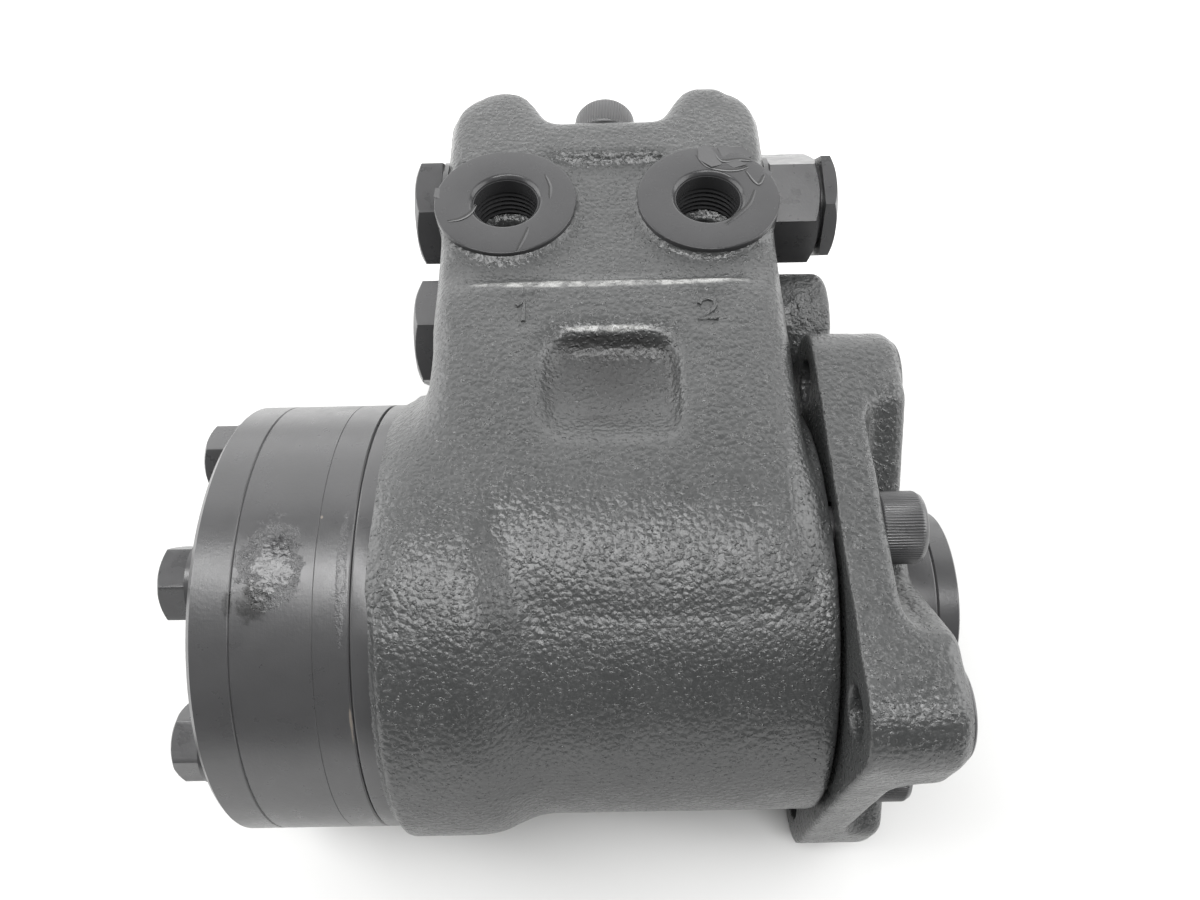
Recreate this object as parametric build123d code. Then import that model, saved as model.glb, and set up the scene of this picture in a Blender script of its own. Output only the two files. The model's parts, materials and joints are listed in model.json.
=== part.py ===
from build123d import *
import math
import os

# Orbital steering unit with a built-in priority valve, in millimetres.
# The origin lies on the input axis, in the plane of the mounting lugs' faces. +X points out of
# the unit towards the steering column, +Z up towards the two work ports, and +Y towards the
# free end of the port head. Angles about the input axis run from +Y towards +Z.

# Stack along the input axis, from the lugs' faces to the end cover.
lug_length = 21.0
flange_plate = 10.0
housing_length = 101.0
distributor_thickness = 7.5
gear_width = 17.0
cover_thickness = 9.0

# Round outline of the gear end and of the cast barrel.
gear_end_radius = 52.0
register_length = 4.5
rim_lean = 0.2
rim_radius = 54.6
rim_start = 6.6
rim_end = 22.5
waist_start = 39.0
barrel_radius = 50.0
barrel_end_round = 1.5
neck_radius = 45.5
neck_length = 0.5
edge_chamfer = 0.6
cover_chamfer = 1.0
joint_chamfer = 0.1

# Port head: a block that leaves the barrel towards +Y.
head_width = 85.5
head_to_flange = 4.0
head_top_inset = 0.1
head_bottom_inset = 2.6
head_reach = 134.1
head_corner = 13.0
head_edge = 6.0
nose_radius = 50.0
nose_reach = 8.0
notch_depth = 13.1
ear_width = 20.75
notch_flank = 7.5
notch_floor_round = 4.0
notch_mouth_round = 7.0
band_start = 62.0
band_length = 43.0
band_depth = 2.5
pocket_size = 31.0
pocket_depth = 5.5
pocket_corner = 6.0
pocket_reach = 30.2
pocket_draft = 12.0

# Ports: two work ports on top, pressure and tank ports below.
port_spacing = 52.0
port_reach = 88.7
port_radius = 8.25
port_thread_depth = 14.0
port_chamfer = 1.0
port_boss_radius = 18.2
port_boss_rise = 2.3
port_drill_radius = 6.0
work_channel_height = 5.0
supply_channel_depth = 12.0
channel_radius = 4.8

# Bolting: one circle for the end cover's screws and the flange's screws.
screw_circle = 82.5
screw_radius = 5.0
screw_clearance = 0.3
thread_clearance = 0.05
cover_screw_count = 7
cover_screw_start = 103.2
cover_screw_engagement = 17.0
cover_screw_flats = 15.0
cover_screw_head = 6.6
washer_thickness = 1.4
washer_radius = 8.9
flange_screw_count = 4
flange_screw_engagement = 11.5
flange_screw_head_radius = 8.0
flange_screw_head = 10.0
flange_screw_socket = 8.0
flange_screw_socket_depth = 5.0
hole_overrun = 2.0
hex_chamfer_angle = 30.0
screw_hex_inset = 2.0
plug_hex_inset = 2.8
cover_screw_turn = 17.0

# Mounting flange: a square plate with four corner lugs around a round hub.
flange_half = 52.0
flange_corner = 12.5
lug_hole_spacing = 80.0
lug_hole_radius = 5.25
lug_pad_radius = 9.5
lug_pad_rise = 0.6
lug_round = 3.5
arm_half_width = 17.0
arm_round = 6.0
valley_round = 4.0
valley_corner = 5.0
hub_radius = 32.0
spigot_radius = 22.0
spigot_length = 7.5
retainer_length = 5.0
pilot_length = 10.0

# Rotary valve: control spool inside control sleeve, in the housing's bore.
sleeve_radius = 19.0
spool_radius = 14.0
running_clearance = 0.03
end_play = 0.3
sleeve_proud = 0.5
groove_depth = 2.2
groove_width = 6.0
groove_pitch = 14.0
first_groove = 12.6
sleeve_port_count = 6
sleeve_port_radius = 1.8
sleeve_port_start = 30.0
spool_slot_width = 3.6
spool_slot_depth = 1.6
spool_slot_start = 60.0
spool_bore = 10.0
spool_bore_to_pin = 13.0
drain_radius = 3.5
pin_station = 49.0
pin_radius = 4.0
pin_inset = 0.6
spool_pin_play = 2.2
neck_outer = 12.5
spline_depth = 33.0
input_pilot_radius = 10.6
input_pilot_depth = 6.0
input_end = 5.0

# Neutral springs: two packs of arched leaves in a slot across sleeve and spool.
spring_slot_width = 6.4
spring_slot_length = 13.0
spring_slot_to_end = 3.5
leaf_count = 3
leaf_thickness = 0.6
leaf_play = 0.05
leaf_reach = 18.2
keeper_thickness = 0.9
keeper_width = 9.0
keeper_gap = 4.0

# Thrust needle bearing between the sleeve and the flange's pilot.
bearing_radius = 24.5
bearing_bore = 13.0
race_thickness = 2.5
needle_radius = 1.5
needle_length = 6.5
needle_count = 16
cage_thickness = 2.2
bearing_play = 0.05

# Gear set: a six-tooth rotor that rolls inside seven fixed lobes.
lobe_count = 7
lobe_circle = 32.0
lobe_radius = 6.8
eccentricity = 2.75
gear_clearance = 0.06
gear_side_play = 0.06
rotor_point_count = 6

# Cardan shaft and its toothed couplings.
tooth_count = 12
tooth_minor = 8.9
tooth_major = 10.3
tooth_root_half_angle = 10.0
tooth_tip_half_angle = 6.0
tooth_play = 0.35
cardan_head_length = 12.0
cardan_waist_radius = 6.2
cardan_waist_taper = 5.0
fork_radius = 9.0
fork_reach = 8.5
fork_slot_depth = 15.0
fork_slot_play = 0.5
distributor_hole = 12.5
passage_circle = 54.6
passage_radius = 2.6
passage_depth = 26.0
spacer_radius = 8.3
spacer_thickness = 3.6
spacer_play = 0.2
head_swing_gap = 0.6

# Seals.
seal_circle = 66.0
seal_width = 2.0
seal_height = 1.6
seal_play = 0.05
flange_seal_circle = 54.0
shaft_seal_radius = 16.5
shaft_seal_length = 6.0
shaft_seal_station = 16.0
dust_seal_radius = 17.0

# Valve bores that cross the head along X.
relief_reach = 104.5
relief_drop = 20.8
priority_reach = 72.5
priority_height = 20.0
valve_bore_radius = 8.0
plug_thread_radius = 9.0
plug_thread_length = 11.0
plug_flats = 27.0
upper_plug_turn = 12.0
plug_head = 7.6
plug_washer = 1.4
plug_washer_radius = 14.2
spot_face_radius = 16.4
spot_face_reach = 8.0
valve_boss_radius = 15.0
valve_boss_reach = 16.0
valve_boss_round = 3.0
priority_end_wall = 7.0
priority_spool_length = 52.0
priority_land = 9.0
priority_land_count = 3
priority_waist_radius = 5.2

# Relief cartridge on the flange side of the upper valve bore.
cartridge_head = 13.5
cartridge_turn = 28.0
cartridge_groove = 0.9
cartridge_groove_radius = 11.0
cartridge_thread_length = 14.0
cartridge_nose_radius = 7.4
cartridge_nose_length = 17.0
cartridge_cavity_radius = 5.5
cartridge_seat_radius = 3.0
cartridge_seat_wall = 4.0
locknut_flats = 26.5
locknut_height = 3.6
locknut_turn = 12.0
adjuster_radius = 4.0
adjuster_depth = 7.0
adjuster_socket = 4.0
adjuster_socket_depth = 2.5
poppet_radius = 5.3
poppet_length = 7.0
poppet_tip_radius = 2.6
poppet_tip_length = 2.4

# Springs behind the poppet and the priority spool.
relief_wire = 0.7
relief_spring_play = 0.5
relief_spring_turns = 6
priority_wire = 0.9
priority_spring_turns = 7
priority_spring_radius = 5.6
spring_end_play = 0.15

# Gallery plug in the head's notch, a knurled socket screw.
gallery_head_radius = 8.5
gallery_head = 9.7
gallery_drop = 10.9
gallery_thread_radius = 6.0
gallery_thread_length = 6.0
gallery_drill_radius = 3.0
gallery_socket = 10.0
gallery_socket_depth = 6.0

# Check valve in the pressure port.
check_seat_length = 5.0
check_seat_bore = 3.2
check_seat_lip = 0.6
check_ball_radius = 4.5
check_ball_lift = 3.0
check_stop_thickness = 1.6
check_stop_bore = 3.4

# Stations along X that follow from the stack.
flange_face = -lug_length
housing_face = flange_face - housing_length
distributor_face = housing_face - distributor_thickness
gear_face = distributor_face - gear_width
cover_face = gear_face - cover_thickness
valley_floor = flange_face + flange_plate
pilot_face = flange_face - pilot_length
bearing_length = 2 * race_thickness + 2 * needle_radius + 2 * bearing_play
sleeve_end = pilot_face - bearing_length
bore_shoulder = sleeve_end - sleeve_proud
valve_start = housing_face + end_play
pin_x = flange_face - pin_station
retainer_face = spigot_length + retainer_length

head_top = rim_radius - head_top_inset
head_bottom = rim_radius - head_bottom_inset
relief_height = head_top - relief_drop
gallery_height = head_top - gallery_drop
head_right = flange_face - head_to_flange
head_left = head_right - head_width
head_x = (head_left + head_right) / 2
notch_y = head_reach - notch_depth
notch_mouth = head_width - 2 * ear_width
notch_floor = notch_mouth - 2 * notch_flank
band_z = head_top - band_depth
boss_top = band_z + port_boss_rise
boss_bottom = -head_bottom - port_boss_rise
port_stations = [head_x - port_spacing / 2, head_x + port_spacing / 2]
pressure_x = port_stations[1]
screw_ring = screw_circle / 2
lug_ring = lug_hole_spacing / 2
groove_stations = [bore_shoulder - first_groove - groove_pitch * step for step in range(4)]

# Phase of the gear set: the fixed lobes stand at the cover screws' angles, and the rotor's
# centre stands where its teeth mesh with them.
orbit_angle = math.radians(lobe_count * cover_screw_start + 180)
orbit_y = eccentricity * math.cos(orbit_angle)
orbit_z = eccentricity * math.sin(orbit_angle)
rotor_tip = lobe_circle + eccentricity - lobe_radius
lobe_step = 360 / lobe_count

START = (Align.CENTER, Align.CENTER, Align.MIN)


def rod(start, end, radius, y=0, z=0):
    """Cylinder along X between two stations."""
    return Location((start, y, z), (0, 90, 0)) * Cylinder(radius, end - start, align=START)


def tube(start, end, outer, inner, y=0, z=0):
    """Ring or bush along X."""
    return rod(start, end, outer, y, z) - rod(start - 1, end + 1, inner, y, z)


def post(x, y, bottom, top, radius):
    """Cylinder along Z between two heights."""
    return Pos(x, y, bottom) * Cylinder(radius, top - bottom, align=START)


def along_y(x, z, start, end, radius):
    """Cylinder along Y between two reaches."""
    return Location((x, start, z), (-90, 0, 0)) * Cylinder(radius, end - start, align=START)


def turned(*outline):
    """Solid turned about the input axis from edges given as (x, radius)."""
    return revolve(make_face(Curve() + list(outline)), Axis.X)


def across(start, end, sketch, y=0, z=0):
    """Extrude a sketch along X; its own x and y axes lie along Y and Z."""
    plane = Plane(origin=(start, y, z), x_dir=(0, 1, 0), z_dir=(1, 0, 0))
    return extrude(plane * sketch, amount=end - start)


def hexagon(start, end, flats, y=0, z=0, turn=0.0, inset=0.0):
    """Hexagon bar along X; its corners are chamfered by `inset` at the outer end."""
    outline = Rot(0, 0, turn) * RegularPolygon(flats / 2, 6, major_radius=False)
    bar = across(start, end, outline, y, z)
    if inset == 0:
        return bar
    corner = flats / 2 / math.cos(math.pi / 6)
    slope = inset * math.tan(math.radians(hex_chamfer_angle))
    straight = abs(end - start) - slope
    blank = Cylinder(corner, straight, align=START)
    blank += Pos(0, 0, straight) * Cone(corner, corner - inset, slope, align=START)
    tilt = 90 if end > start else -90
    return bar & (Location((start, y, z), (0, tilt, 0)) * blank)


def circle_spots(count, radius, start):
    """Y and Z of points spread evenly on a circle about the input axis."""
    angles = [math.radians(start + 360 * index / count) for index in range(count)]
    return [(radius * math.cos(angle), radius * math.sin(angle)) for angle in angles]


def toothed(minor, major, play):
    """Outline of the toothed coupling, grown outwards by `play`."""
    points = []
    root, tip = tooth_root_half_angle, tooth_tip_half_angle
    for tooth in range(tooth_count):
        middle = 360 / tooth_count * tooth
        for radius, half in ((minor, -root), (major, -tip), (major, tip), (minor, root)):
            side = math.degrees(play / radius) * (1 if half > 0 else -1)
            angle = math.radians(middle + half + side)
            points.append(((radius + play) * math.cos(angle), (radius + play) * math.sin(angle)))
    return make_face(Polyline(*points, close=True))


def coil(start, end, radius, wire, turns, y, z):
    """Compression spring along X, wound between two stations."""
    pitch = (end - start - 2 * wire) / turns
    path = Helix(pitch, pitch * turns, radius)
    section = Plane(origin=path @ 0, z_dir=path % 0) * Circle(wire)
    return Location((start + wire, y, z), (0, 90, 0)) * sweep(section, path, is_frenet=True)


cover_spots = circle_spots(cover_screw_count, screw_ring, cover_screw_start)
flange_spots = circle_spots(flange_screw_count, screw_ring, 0)
passage_spots = circle_spots(lobe_count, passage_circle / 2, cover_screw_start + lobe_step / 2)


def barrel():
    """Cast barrel with its machined register, raised rim and waist."""
    register_end = (housing_face + register_length, gear_end_radius)
    rim_corner = (housing_face + rim_start, rim_radius)
    rim_edge = (housing_face + rim_end, rim_radius)
    waist = (housing_face + waist_start, barrel_radius)
    end_x = flange_face - neck_length
    round_start = (end_x - barrel_end_round, barrel_radius)
    end_round = JernArc(round_start, (1, 0), barrel_end_round, -90)
    return turned(
        Line((housing_face, 0), (housing_face, gear_end_radius - edge_chamfer)),
        Line((housing_face, gear_end_radius - edge_chamfer), (housing_face + edge_chamfer, gear_end_radius)),
        Line((housing_face + edge_chamfer, gear_end_radius), register_end),
        Spline(register_end, rim_corner, tangents=[(rim_lean, 1), (1, 0)]),
        Line(rim_corner, rim_edge),
        Spline(rim_edge, waist, tangents=[(1, 0), (1, 0)]),
        Line(waist, round_start),
        end_round,
        Line((end_x, barrel_radius - barrel_end_round), (end_x, neck_radius)),
        Line((end_x, neck_radius), (flange_face, neck_radius)),
        Line((flange_face, neck_radius), (flange_face, 0)),
        Line((flange_face, 0), (housing_face, 0)),
    )


def head():
    """Port head: a notched block whose rounded nose runs into the barrel."""
    plan = Pos(head_x, (nose_reach + head_reach) / 2) * Rectangle(head_width, head_reach - nose_reach)
    notch = make_face(
        Polyline(
            (head_x - notch_floor / 2, notch_y),
            (head_x + notch_floor / 2, notch_y),
            (head_x + notch_mouth / 2, head_reach),
            (head_x - notch_mouth / 2, head_reach),
            close=True,
        )
    )
    plan -= notch
    ends = plan.vertices().group_by(Axis.Y)[-1].sort_by(Axis.X)
    plan = fillet([ends[0], ends[-1]], head_corner)
    mouth = plan.vertices().group_by(Axis.Y)[-1].sort_by(Axis.X)
    plan = fillet([mouth[1], mouth[2]], notch_mouth_round)
    floor = [spot for spot in plan.vertices() if abs(spot.Y - notch_y) < 0.01]
    plan = fillet(floor, notch_floor_round)
    block = extrude(Pos(0, 0, -head_bottom) * plan, amount=head_top + head_bottom)
    rims = block.edges().group_by(Axis.Z)
    top = [edge for edge in rims[-1] if edge.center().Y > nose_reach + 1]
    bottom = [edge for edge in rims[0] if edge.center().Y > nose_reach + 1]
    block = fillet(top + bottom, head_edge)
    for height in (head_top - nose_radius, nose_radius - head_bottom):
        nose = rod(head_left, head_right, nose_radius, nose_reach, height)
        block += fillet(nose.edges().filter_by(GeomType.CIRCLE), head_edge)
    return block


def housing():
    """Cast housing with the valve bores, ports and channels cut into it."""
    body = barrel() + head()
    band = Box(head_width * 2, band_length, head_top, align=START)
    body -= Pos(head_x, band_start + band_length / 2, band_z) * band
    pocket = RectangleRounded(pocket_size, pocket_size, pocket_corner)
    hollow = extrude(pocket, amount=-pocket_depth, taper=pocket_draft)
    body -= Pos(head_x, pocket_reach, head_top) * hollow
    for x in port_stations:
        body += post(x, port_reach, boss_bottom, boss_top, port_boss_radius)
    boss = rod(
        head_right - head_edge,
        head_right + valve_boss_reach,
        valve_boss_radius,
        priority_reach,
        priority_height,
    )
    boss_rim = boss.edges().filter_by(GeomType.CIRCLE).sort_by(Axis.X)[-1]
    body += fillet(boss_rim, valve_boss_round)
    for y, z in ((relief_reach, relief_height), (priority_reach, priority_height)):
        body -= rod(head_left - spot_face_reach, head_left, spot_face_radius, y, z)
        thread_end = head_left + plug_thread_length + hole_overrun
        body -= rod(head_left - 1, thread_end, plug_thread_radius + thread_clearance, y, z)
    body -= rod(head_right, head_right + spot_face_reach, spot_face_radius, relief_reach, relief_height)
    body -= rod(
        head_right - cartridge_thread_length - hole_overrun,
        head_right + 1,
        plug_thread_radius + thread_clearance,
        relief_reach,
        relief_height,
    )
    body -= rod(head_left - 1, head_right + 1, valve_bore_radius, relief_reach, relief_height)
    priority_end = head_right + valve_boss_reach - priority_end_wall
    body -= rod(head_left - 1, priority_end, valve_bore_radius, priority_reach, priority_height)
    body -= along_y(
        head_x,
        gallery_height,
        notch_y - gallery_thread_length - hole_overrun,
        head_reach,
        gallery_thread_radius + thread_clearance,
    )
    body -= along_y(head_x, gallery_height, relief_reach, notch_y, gallery_drill_radius)
    for x in port_stations:
        thread_top = boss_top - port_thread_depth
        thread_bottom = boss_bottom + port_thread_depth
        body -= post(x, port_reach, thread_top, boss_top + 1, port_radius)
        body -= post(x, port_reach, boss_bottom - 1, thread_bottom, port_radius)
        body -= post(x, port_reach, work_channel_height, boss_top, port_drill_radius)
        body -= post(x, port_reach, boss_bottom, -supply_channel_depth, port_drill_radius)
        body -= along_y(x, work_channel_height, 0, port_reach, channel_radius)
        body -= along_y(x, -supply_channel_depth, 0, port_reach, channel_radius)
        mouth = Cone(port_radius, port_radius + port_chamfer, port_chamfer, align=START)
        body -= Pos(x, port_reach, boss_top - port_chamfer) * mouth
        body -= Pos(x, port_reach, boss_bottom + port_chamfer) * Rot(180, 0, 0) * mouth
    body -= rod(housing_face - 1, flange_face + 1, sleeve_radius + running_clearance)
    body -= rod(bore_shoulder, flange_face + 1, bearing_radius + bearing_play)
    for x in groove_stations:
        body -= rod(x - groove_width / 2, x + groove_width / 2, sleeve_radius + groove_depth)
    for y, z in passage_spots:
        body -= rod(housing_face - 1, housing_face + passage_depth, passage_radius, y, z)
    for y, z in cover_spots:
        depth = cover_screw_engagement + hole_overrun
        body -= rod(housing_face - 1, housing_face + depth, screw_radius + thread_clearance, y, z)
    for y, z in flange_spots:
        depth = flange_screw_engagement + hole_overrun
        body -= rod(flange_face - depth, flange_face + 1, screw_radius + thread_clearance, y, z)
    return body


def seal_groove(face, side, circle):
    """Groove for a square-cut face seal; `side` is +1 where it is cut towards +X."""
    deep = face + side * (seal_height + seal_play)
    near, far = sorted((face - side, deep))
    half = seal_width / 2 + seal_play
    return tube(near, far, circle / 2 + half, circle / 2 - half)


def seal_ring(face, side, circle):
    """Square-cut face seal that fills the groove."""
    near, far = sorted((face, face + side * seal_height))
    return tube(near, far, circle / 2 + seal_width / 2, circle / 2 - seal_width / 2)


def distributor_plate():
    plate = rod(distributor_face, housing_face, gear_end_radius)
    plate = chamfer(plate.edges().filter_by(GeomType.CIRCLE).sort_by(Axis.X)[-1], edge_chamfer / 2)
    plate = chamfer(plate.edges().filter_by(GeomType.CIRCLE).sort_by(Axis.X)[0], joint_chamfer)
    plate -= rod(distributor_face - 1, housing_face + 1, distributor_hole)
    for y, z in passage_spots:
        plate -= rod(distributor_face - 1, housing_face + 1, passage_radius, y, z)
    for y, z in cover_spots:
        plate -= rod(distributor_face - 1, housing_face + 1, screw_radius + screw_clearance, y, z)
    plate -= seal_groove(distributor_face, 1, seal_circle)
    plate -= seal_groove(housing_face, -1, seal_circle)
    return plate


def gear_ring():
    """Fixed ring with seven round lobes that the rotor rolls on."""
    ring = rod(gear_face, distributor_face, gear_end_radius)
    ring = chamfer(ring.edges().filter_by(GeomType.CIRCLE).sort_by(Axis.X)[0], edge_chamfer / 2)
    ring = chamfer(ring.edges().filter_by(GeomType.CIRCLE).sort_by(Axis.X)[-1], joint_chamfer)
    opening = Circle(rotor_tip + eccentricity + gear_clearance)
    for y, z in circle_spots(lobe_count, lobe_circle, cover_screw_start):
        opening -= Pos(y, z) * Circle(lobe_radius)
    ring -= across(gear_face - 1, distributor_face + 1, opening)
    for y, z in cover_spots:
        ring -= rod(gear_face - 1, distributor_face + 1, screw_radius + screw_clearance, y, z)
    return ring


def end_cover():
    cover = rod(cover_face, gear_face, gear_end_radius)
    rims = cover.edges().filter_by(GeomType.CIRCLE).sort_by(Axis.X)
    cover = chamfer(rims[0], cover_chamfer)
    cover = chamfer(cover.edges().filter_by(GeomType.CIRCLE).sort_by(Axis.X)[-1], edge_chamfer / 2)
    for y, z in cover_spots:
        cover -= rod(cover_face - 1, gear_face + 1, screw_radius + screw_clearance, y, z)
    cover -= seal_groove(gear_face, -1, seal_circle)
    return cover


def rotor():
    """Six-tooth rotor: the envelope of the ring's lobes as it rolls inside them."""
    points = []
    point_count = (lobe_count - 1) * rotor_point_count * 2
    for index in range(point_count):
        angle = 2 * math.pi * index / point_count
        centre_y = lobe_circle * math.cos(angle) + eccentricity * math.cos(lobe_count * angle)
        centre_z = lobe_circle * math.sin(angle) + eccentricity * math.sin(lobe_count * angle)
        fast = lobe_count * eccentricity
        slope_y = -lobe_circle * math.sin(angle) - fast * math.sin(lobe_count * angle)
        slope_z = lobe_circle * math.cos(angle) + fast * math.cos(lobe_count * angle)
        inset = (lobe_radius + gear_clearance) / math.hypot(slope_y, slope_z)
        points.append((centre_y - slope_z * inset, centre_z + slope_y * inset))
    outline = make_face(Spline(*points, periodic=True))
    bore = Rot(0, 0, 90) * toothed(tooth_minor, tooth_major, tooth_play)
    start, end = gear_face + gear_side_play, distributor_face - gear_side_play
    return across(start, end, outline - bore, orbit_y, orbit_z)


def cardan_shaft():
    """Shaft that swings between the cross pin and the rotor, with its crowned toothed head."""
    pivot = Vector(pin_x, 0, 0)
    head_end = gear_face + spacer_play + spacer_thickness + head_swing_gap
    rotor_centre = Vector(head_end + cardan_head_length / 2, orbit_y, orbit_z)
    axis = (rotor_centre - pivot).normalized()
    pin_axis = Vector(0, 0, 1)
    slot_axis = (pin_axis - axis * pin_axis.dot(axis)).normalized()
    reach = (rotor_centre - pivot).length
    head_start = reach - cardan_head_length / 2
    shaft = Pos(0, 0, -fork_reach) * Cylinder(fork_radius, fork_reach + fork_slot_depth, align=START)
    taper = Cone(fork_radius, cardan_waist_radius, cardan_waist_taper, align=START)
    shaft += Pos(0, 0, fork_slot_depth) * taper
    shaft += Cylinder(cardan_waist_radius, head_start, align=START)
    crown = extrude(toothed(tooth_minor, tooth_major, 0), amount=cardan_head_length)
    shaft += Pos(0, 0, head_start) * crown
    slot_width = 2 * (pin_radius + fork_slot_play)
    slot = Box(fork_radius * 3, slot_width, fork_reach + pin_radius + fork_slot_play + 1, align=START)
    shaft -= Pos(0, 0, -fork_reach - 1) * slot
    return Plane(origin=pivot, x_dir=slot_axis, z_dir=axis) * shaft


def spacer_disc():
    start = gear_face + spacer_play
    return rod(start, start + spacer_thickness, spacer_radius, orbit_y, orbit_z)


def control_sleeve():
    sleeve = tube(valve_start, sleeve_end, sleeve_radius, spool_radius + running_clearance)
    for x in groove_stations:
        for y, z in circle_spots(sleeve_port_count, sleeve_radius, sleeve_port_start):
            angle = math.degrees(math.atan2(z, y))
            hole = Cylinder(sleeve_port_radius, sleeve_radius * 1.5, align=START)
            sleeve -= Location((x, 0, 0), (angle, 0, 0)) * Rot(-90, 0, 0) * hole
    sleeve -= post(pin_x, 0, -sleeve_radius * 2, sleeve_radius * 2, pin_radius + thread_clearance)
    sleeve -= spring_slot()
    sleeve -= keeper_groove()
    return sleeve


def slot_station():
    """Middle of the spring slot along X."""
    return sleeve_end - spring_slot_to_end - spring_slot_length / 2


def spring_slot():
    slot = Box(spring_slot_length, sleeve_radius * 3, spring_slot_width)
    return Pos(slot_station(), 0, 0) * slot


def keeper_groove():
    middle = slot_station()
    return tube(
        middle - keeper_width / 2 - leaf_play,
        middle + keeper_width / 2 + leaf_play,
        sleeve_radius + 1,
        sleeve_radius - keeper_thickness - leaf_play,
    )


def spring_keeper():
    """Split ring that keeps the leaves in the sleeve."""
    middle = slot_station()
    ring = tube(
        middle - keeper_width / 2,
        middle + keeper_width / 2,
        sleeve_radius - leaf_play,
        sleeve_radius - keeper_thickness,
    )
    return ring - Pos(middle, 0, -sleeve_radius) * Box(keeper_width * 2, keeper_gap, sleeve_radius)


def neutral_springs():
    """Two packs of leaves, arched back to back across the slot."""
    rise = spring_slot_width / 2 - leaf_count * leaf_thickness - leaf_play * (leaf_count + 1)
    reach = leaf_reach - keeper_thickness
    arch_radius = (reach * reach + rise * rise) / (2 * rise)
    leaves = []
    for side in (1, -1):
        for leaf in range(leaf_count):
            bottom = leaf_play + leaf * (leaf_thickness + leaf_play)
            inner = arch_radius - bottom - leaf_thickness
            band = Pos(0, arch_radius) * (Circle(arch_radius - bottom) - Circle(inner))
            window = Pos(0, spring_slot_width / 4) * Rectangle(2 * reach, spring_slot_width)
            strip = band & window
            strip = strip if side > 0 else mirror(strip, Plane.XZ)
            middle = slot_station()
            half = spring_slot_length / 2 - leaf_play
            leaves.append(across(middle - half, middle + half, strip))
    return Compound(children=[part.solid() for part in leaves])


def control_spool():
    """Spool with metering slots, the cross-pin window and the toothed input bore."""
    spool = rod(valve_start, sleeve_end, spool_radius)
    spool += rod(sleeve_end - 1, input_end, neck_outer)
    spool -= rod(valve_start - 1, pin_x + spool_bore_to_pin, spool_bore)
    spool -= rod(pin_x, input_end, drain_radius)
    bore_start = input_end - spline_depth
    spool -= across(bore_start, input_end + 1, toothed(tooth_minor, tooth_major, 0))
    spool -= rod(input_end - input_pilot_depth, input_end + 1, input_pilot_radius)
    spool -= post(pin_x, 0, -spool_radius * 2, spool_radius * 2, pin_radius + spool_pin_play)
    spool -= spring_slot()
    slot_end = pin_x - pin_radius - spool_pin_play - hole_overrun
    slot_start = valve_start + groove_width
    for y, z in circle_spots(sleeve_port_count, spool_radius, spool_slot_start):
        angle = math.degrees(math.atan2(z, y))
        cutter = Box(slot_end - slot_start, spool_slot_depth * 2, spool_slot_width)
        middle = (slot_start + slot_end) / 2
        spool -= Location((middle, 0, 0), (angle, 0, 0)) * Pos(0, spool_radius, 0) * cutter
    return spool


def cross_pin():
    half = sleeve_radius - pin_inset
    return post(pin_x, 0, -half, half, pin_radius)


def bearing_races():
    """Inner race on the sleeve and outer race on the flange's pilot."""
    inner = tube(sleeve_end, sleeve_end + race_thickness, bearing_radius - end_play, bearing_bore)
    outer = tube(pilot_face - race_thickness, pilot_face, bearing_radius, bearing_bore)
    return inner, outer


def needle_places():
    middle = (sleeve_end + pilot_face) / 2
    mean = (bearing_radius + bearing_bore) / 2
    return middle, circle_spots(needle_count, mean, 0)


def bearing_needles():
    middle, spots = needle_places()
    needles = []
    for y, z in spots:
        angle = math.degrees(math.atan2(z, y))
        place = Location((middle, 0, 0), (angle, 0, 0)) * Pos(0, math.hypot(y, z), 0)
        needle = place * Rot(90, 0, 0) * Cylinder(needle_radius, needle_length)
        needles.append(needle.solid())
    return Compound(children=needles)


def needle_cage():
    middle, spots = needle_places()
    cage = tube(
        middle - cage_thickness / 2,
        middle + cage_thickness / 2,
        bearing_radius - end_play,
        bearing_bore + end_play,
    )
    for y, z in spots:
        angle = math.degrees(math.atan2(z, y))
        place = Location((middle, 0, 0), (angle, 0, 0)) * Pos(0, math.hypot(y, z), 0)
        window = 2 * (needle_radius + bearing_play)
        cage -= place * Box(cage_thickness * 2, needle_length + 2 * bearing_play, window)
    return cage


def lug_outline():
    """Plan of the hub with its four diagonal arms, which end in the lugs."""
    apex = arm_half_width * math.sqrt(2)
    edge = flange_half * 2
    valley = make_face(Polyline((apex - edge, edge), (edge - apex, edge), (0, apex), close=True))
    valley -= Circle(hub_radius)
    valley = fillet(valley.vertices().sort_by(Axis.Y)[:2], valley_corner)
    plan = RectangleRounded(2 * flange_half, 2 * flange_half, flange_corner)
    for turn in range(4):
        plan -= Rot(0, 0, 90 * turn) * valley
    corners = []
    for spot in plan.vertices():
        near, far = sorted((abs(spot.X), abs(spot.Y)))
        if near < flange_half - flange_corner - 1 and far > flange_half - 0.01:
            corners.append(spot)
    return fillet(corners, arm_round)


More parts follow.
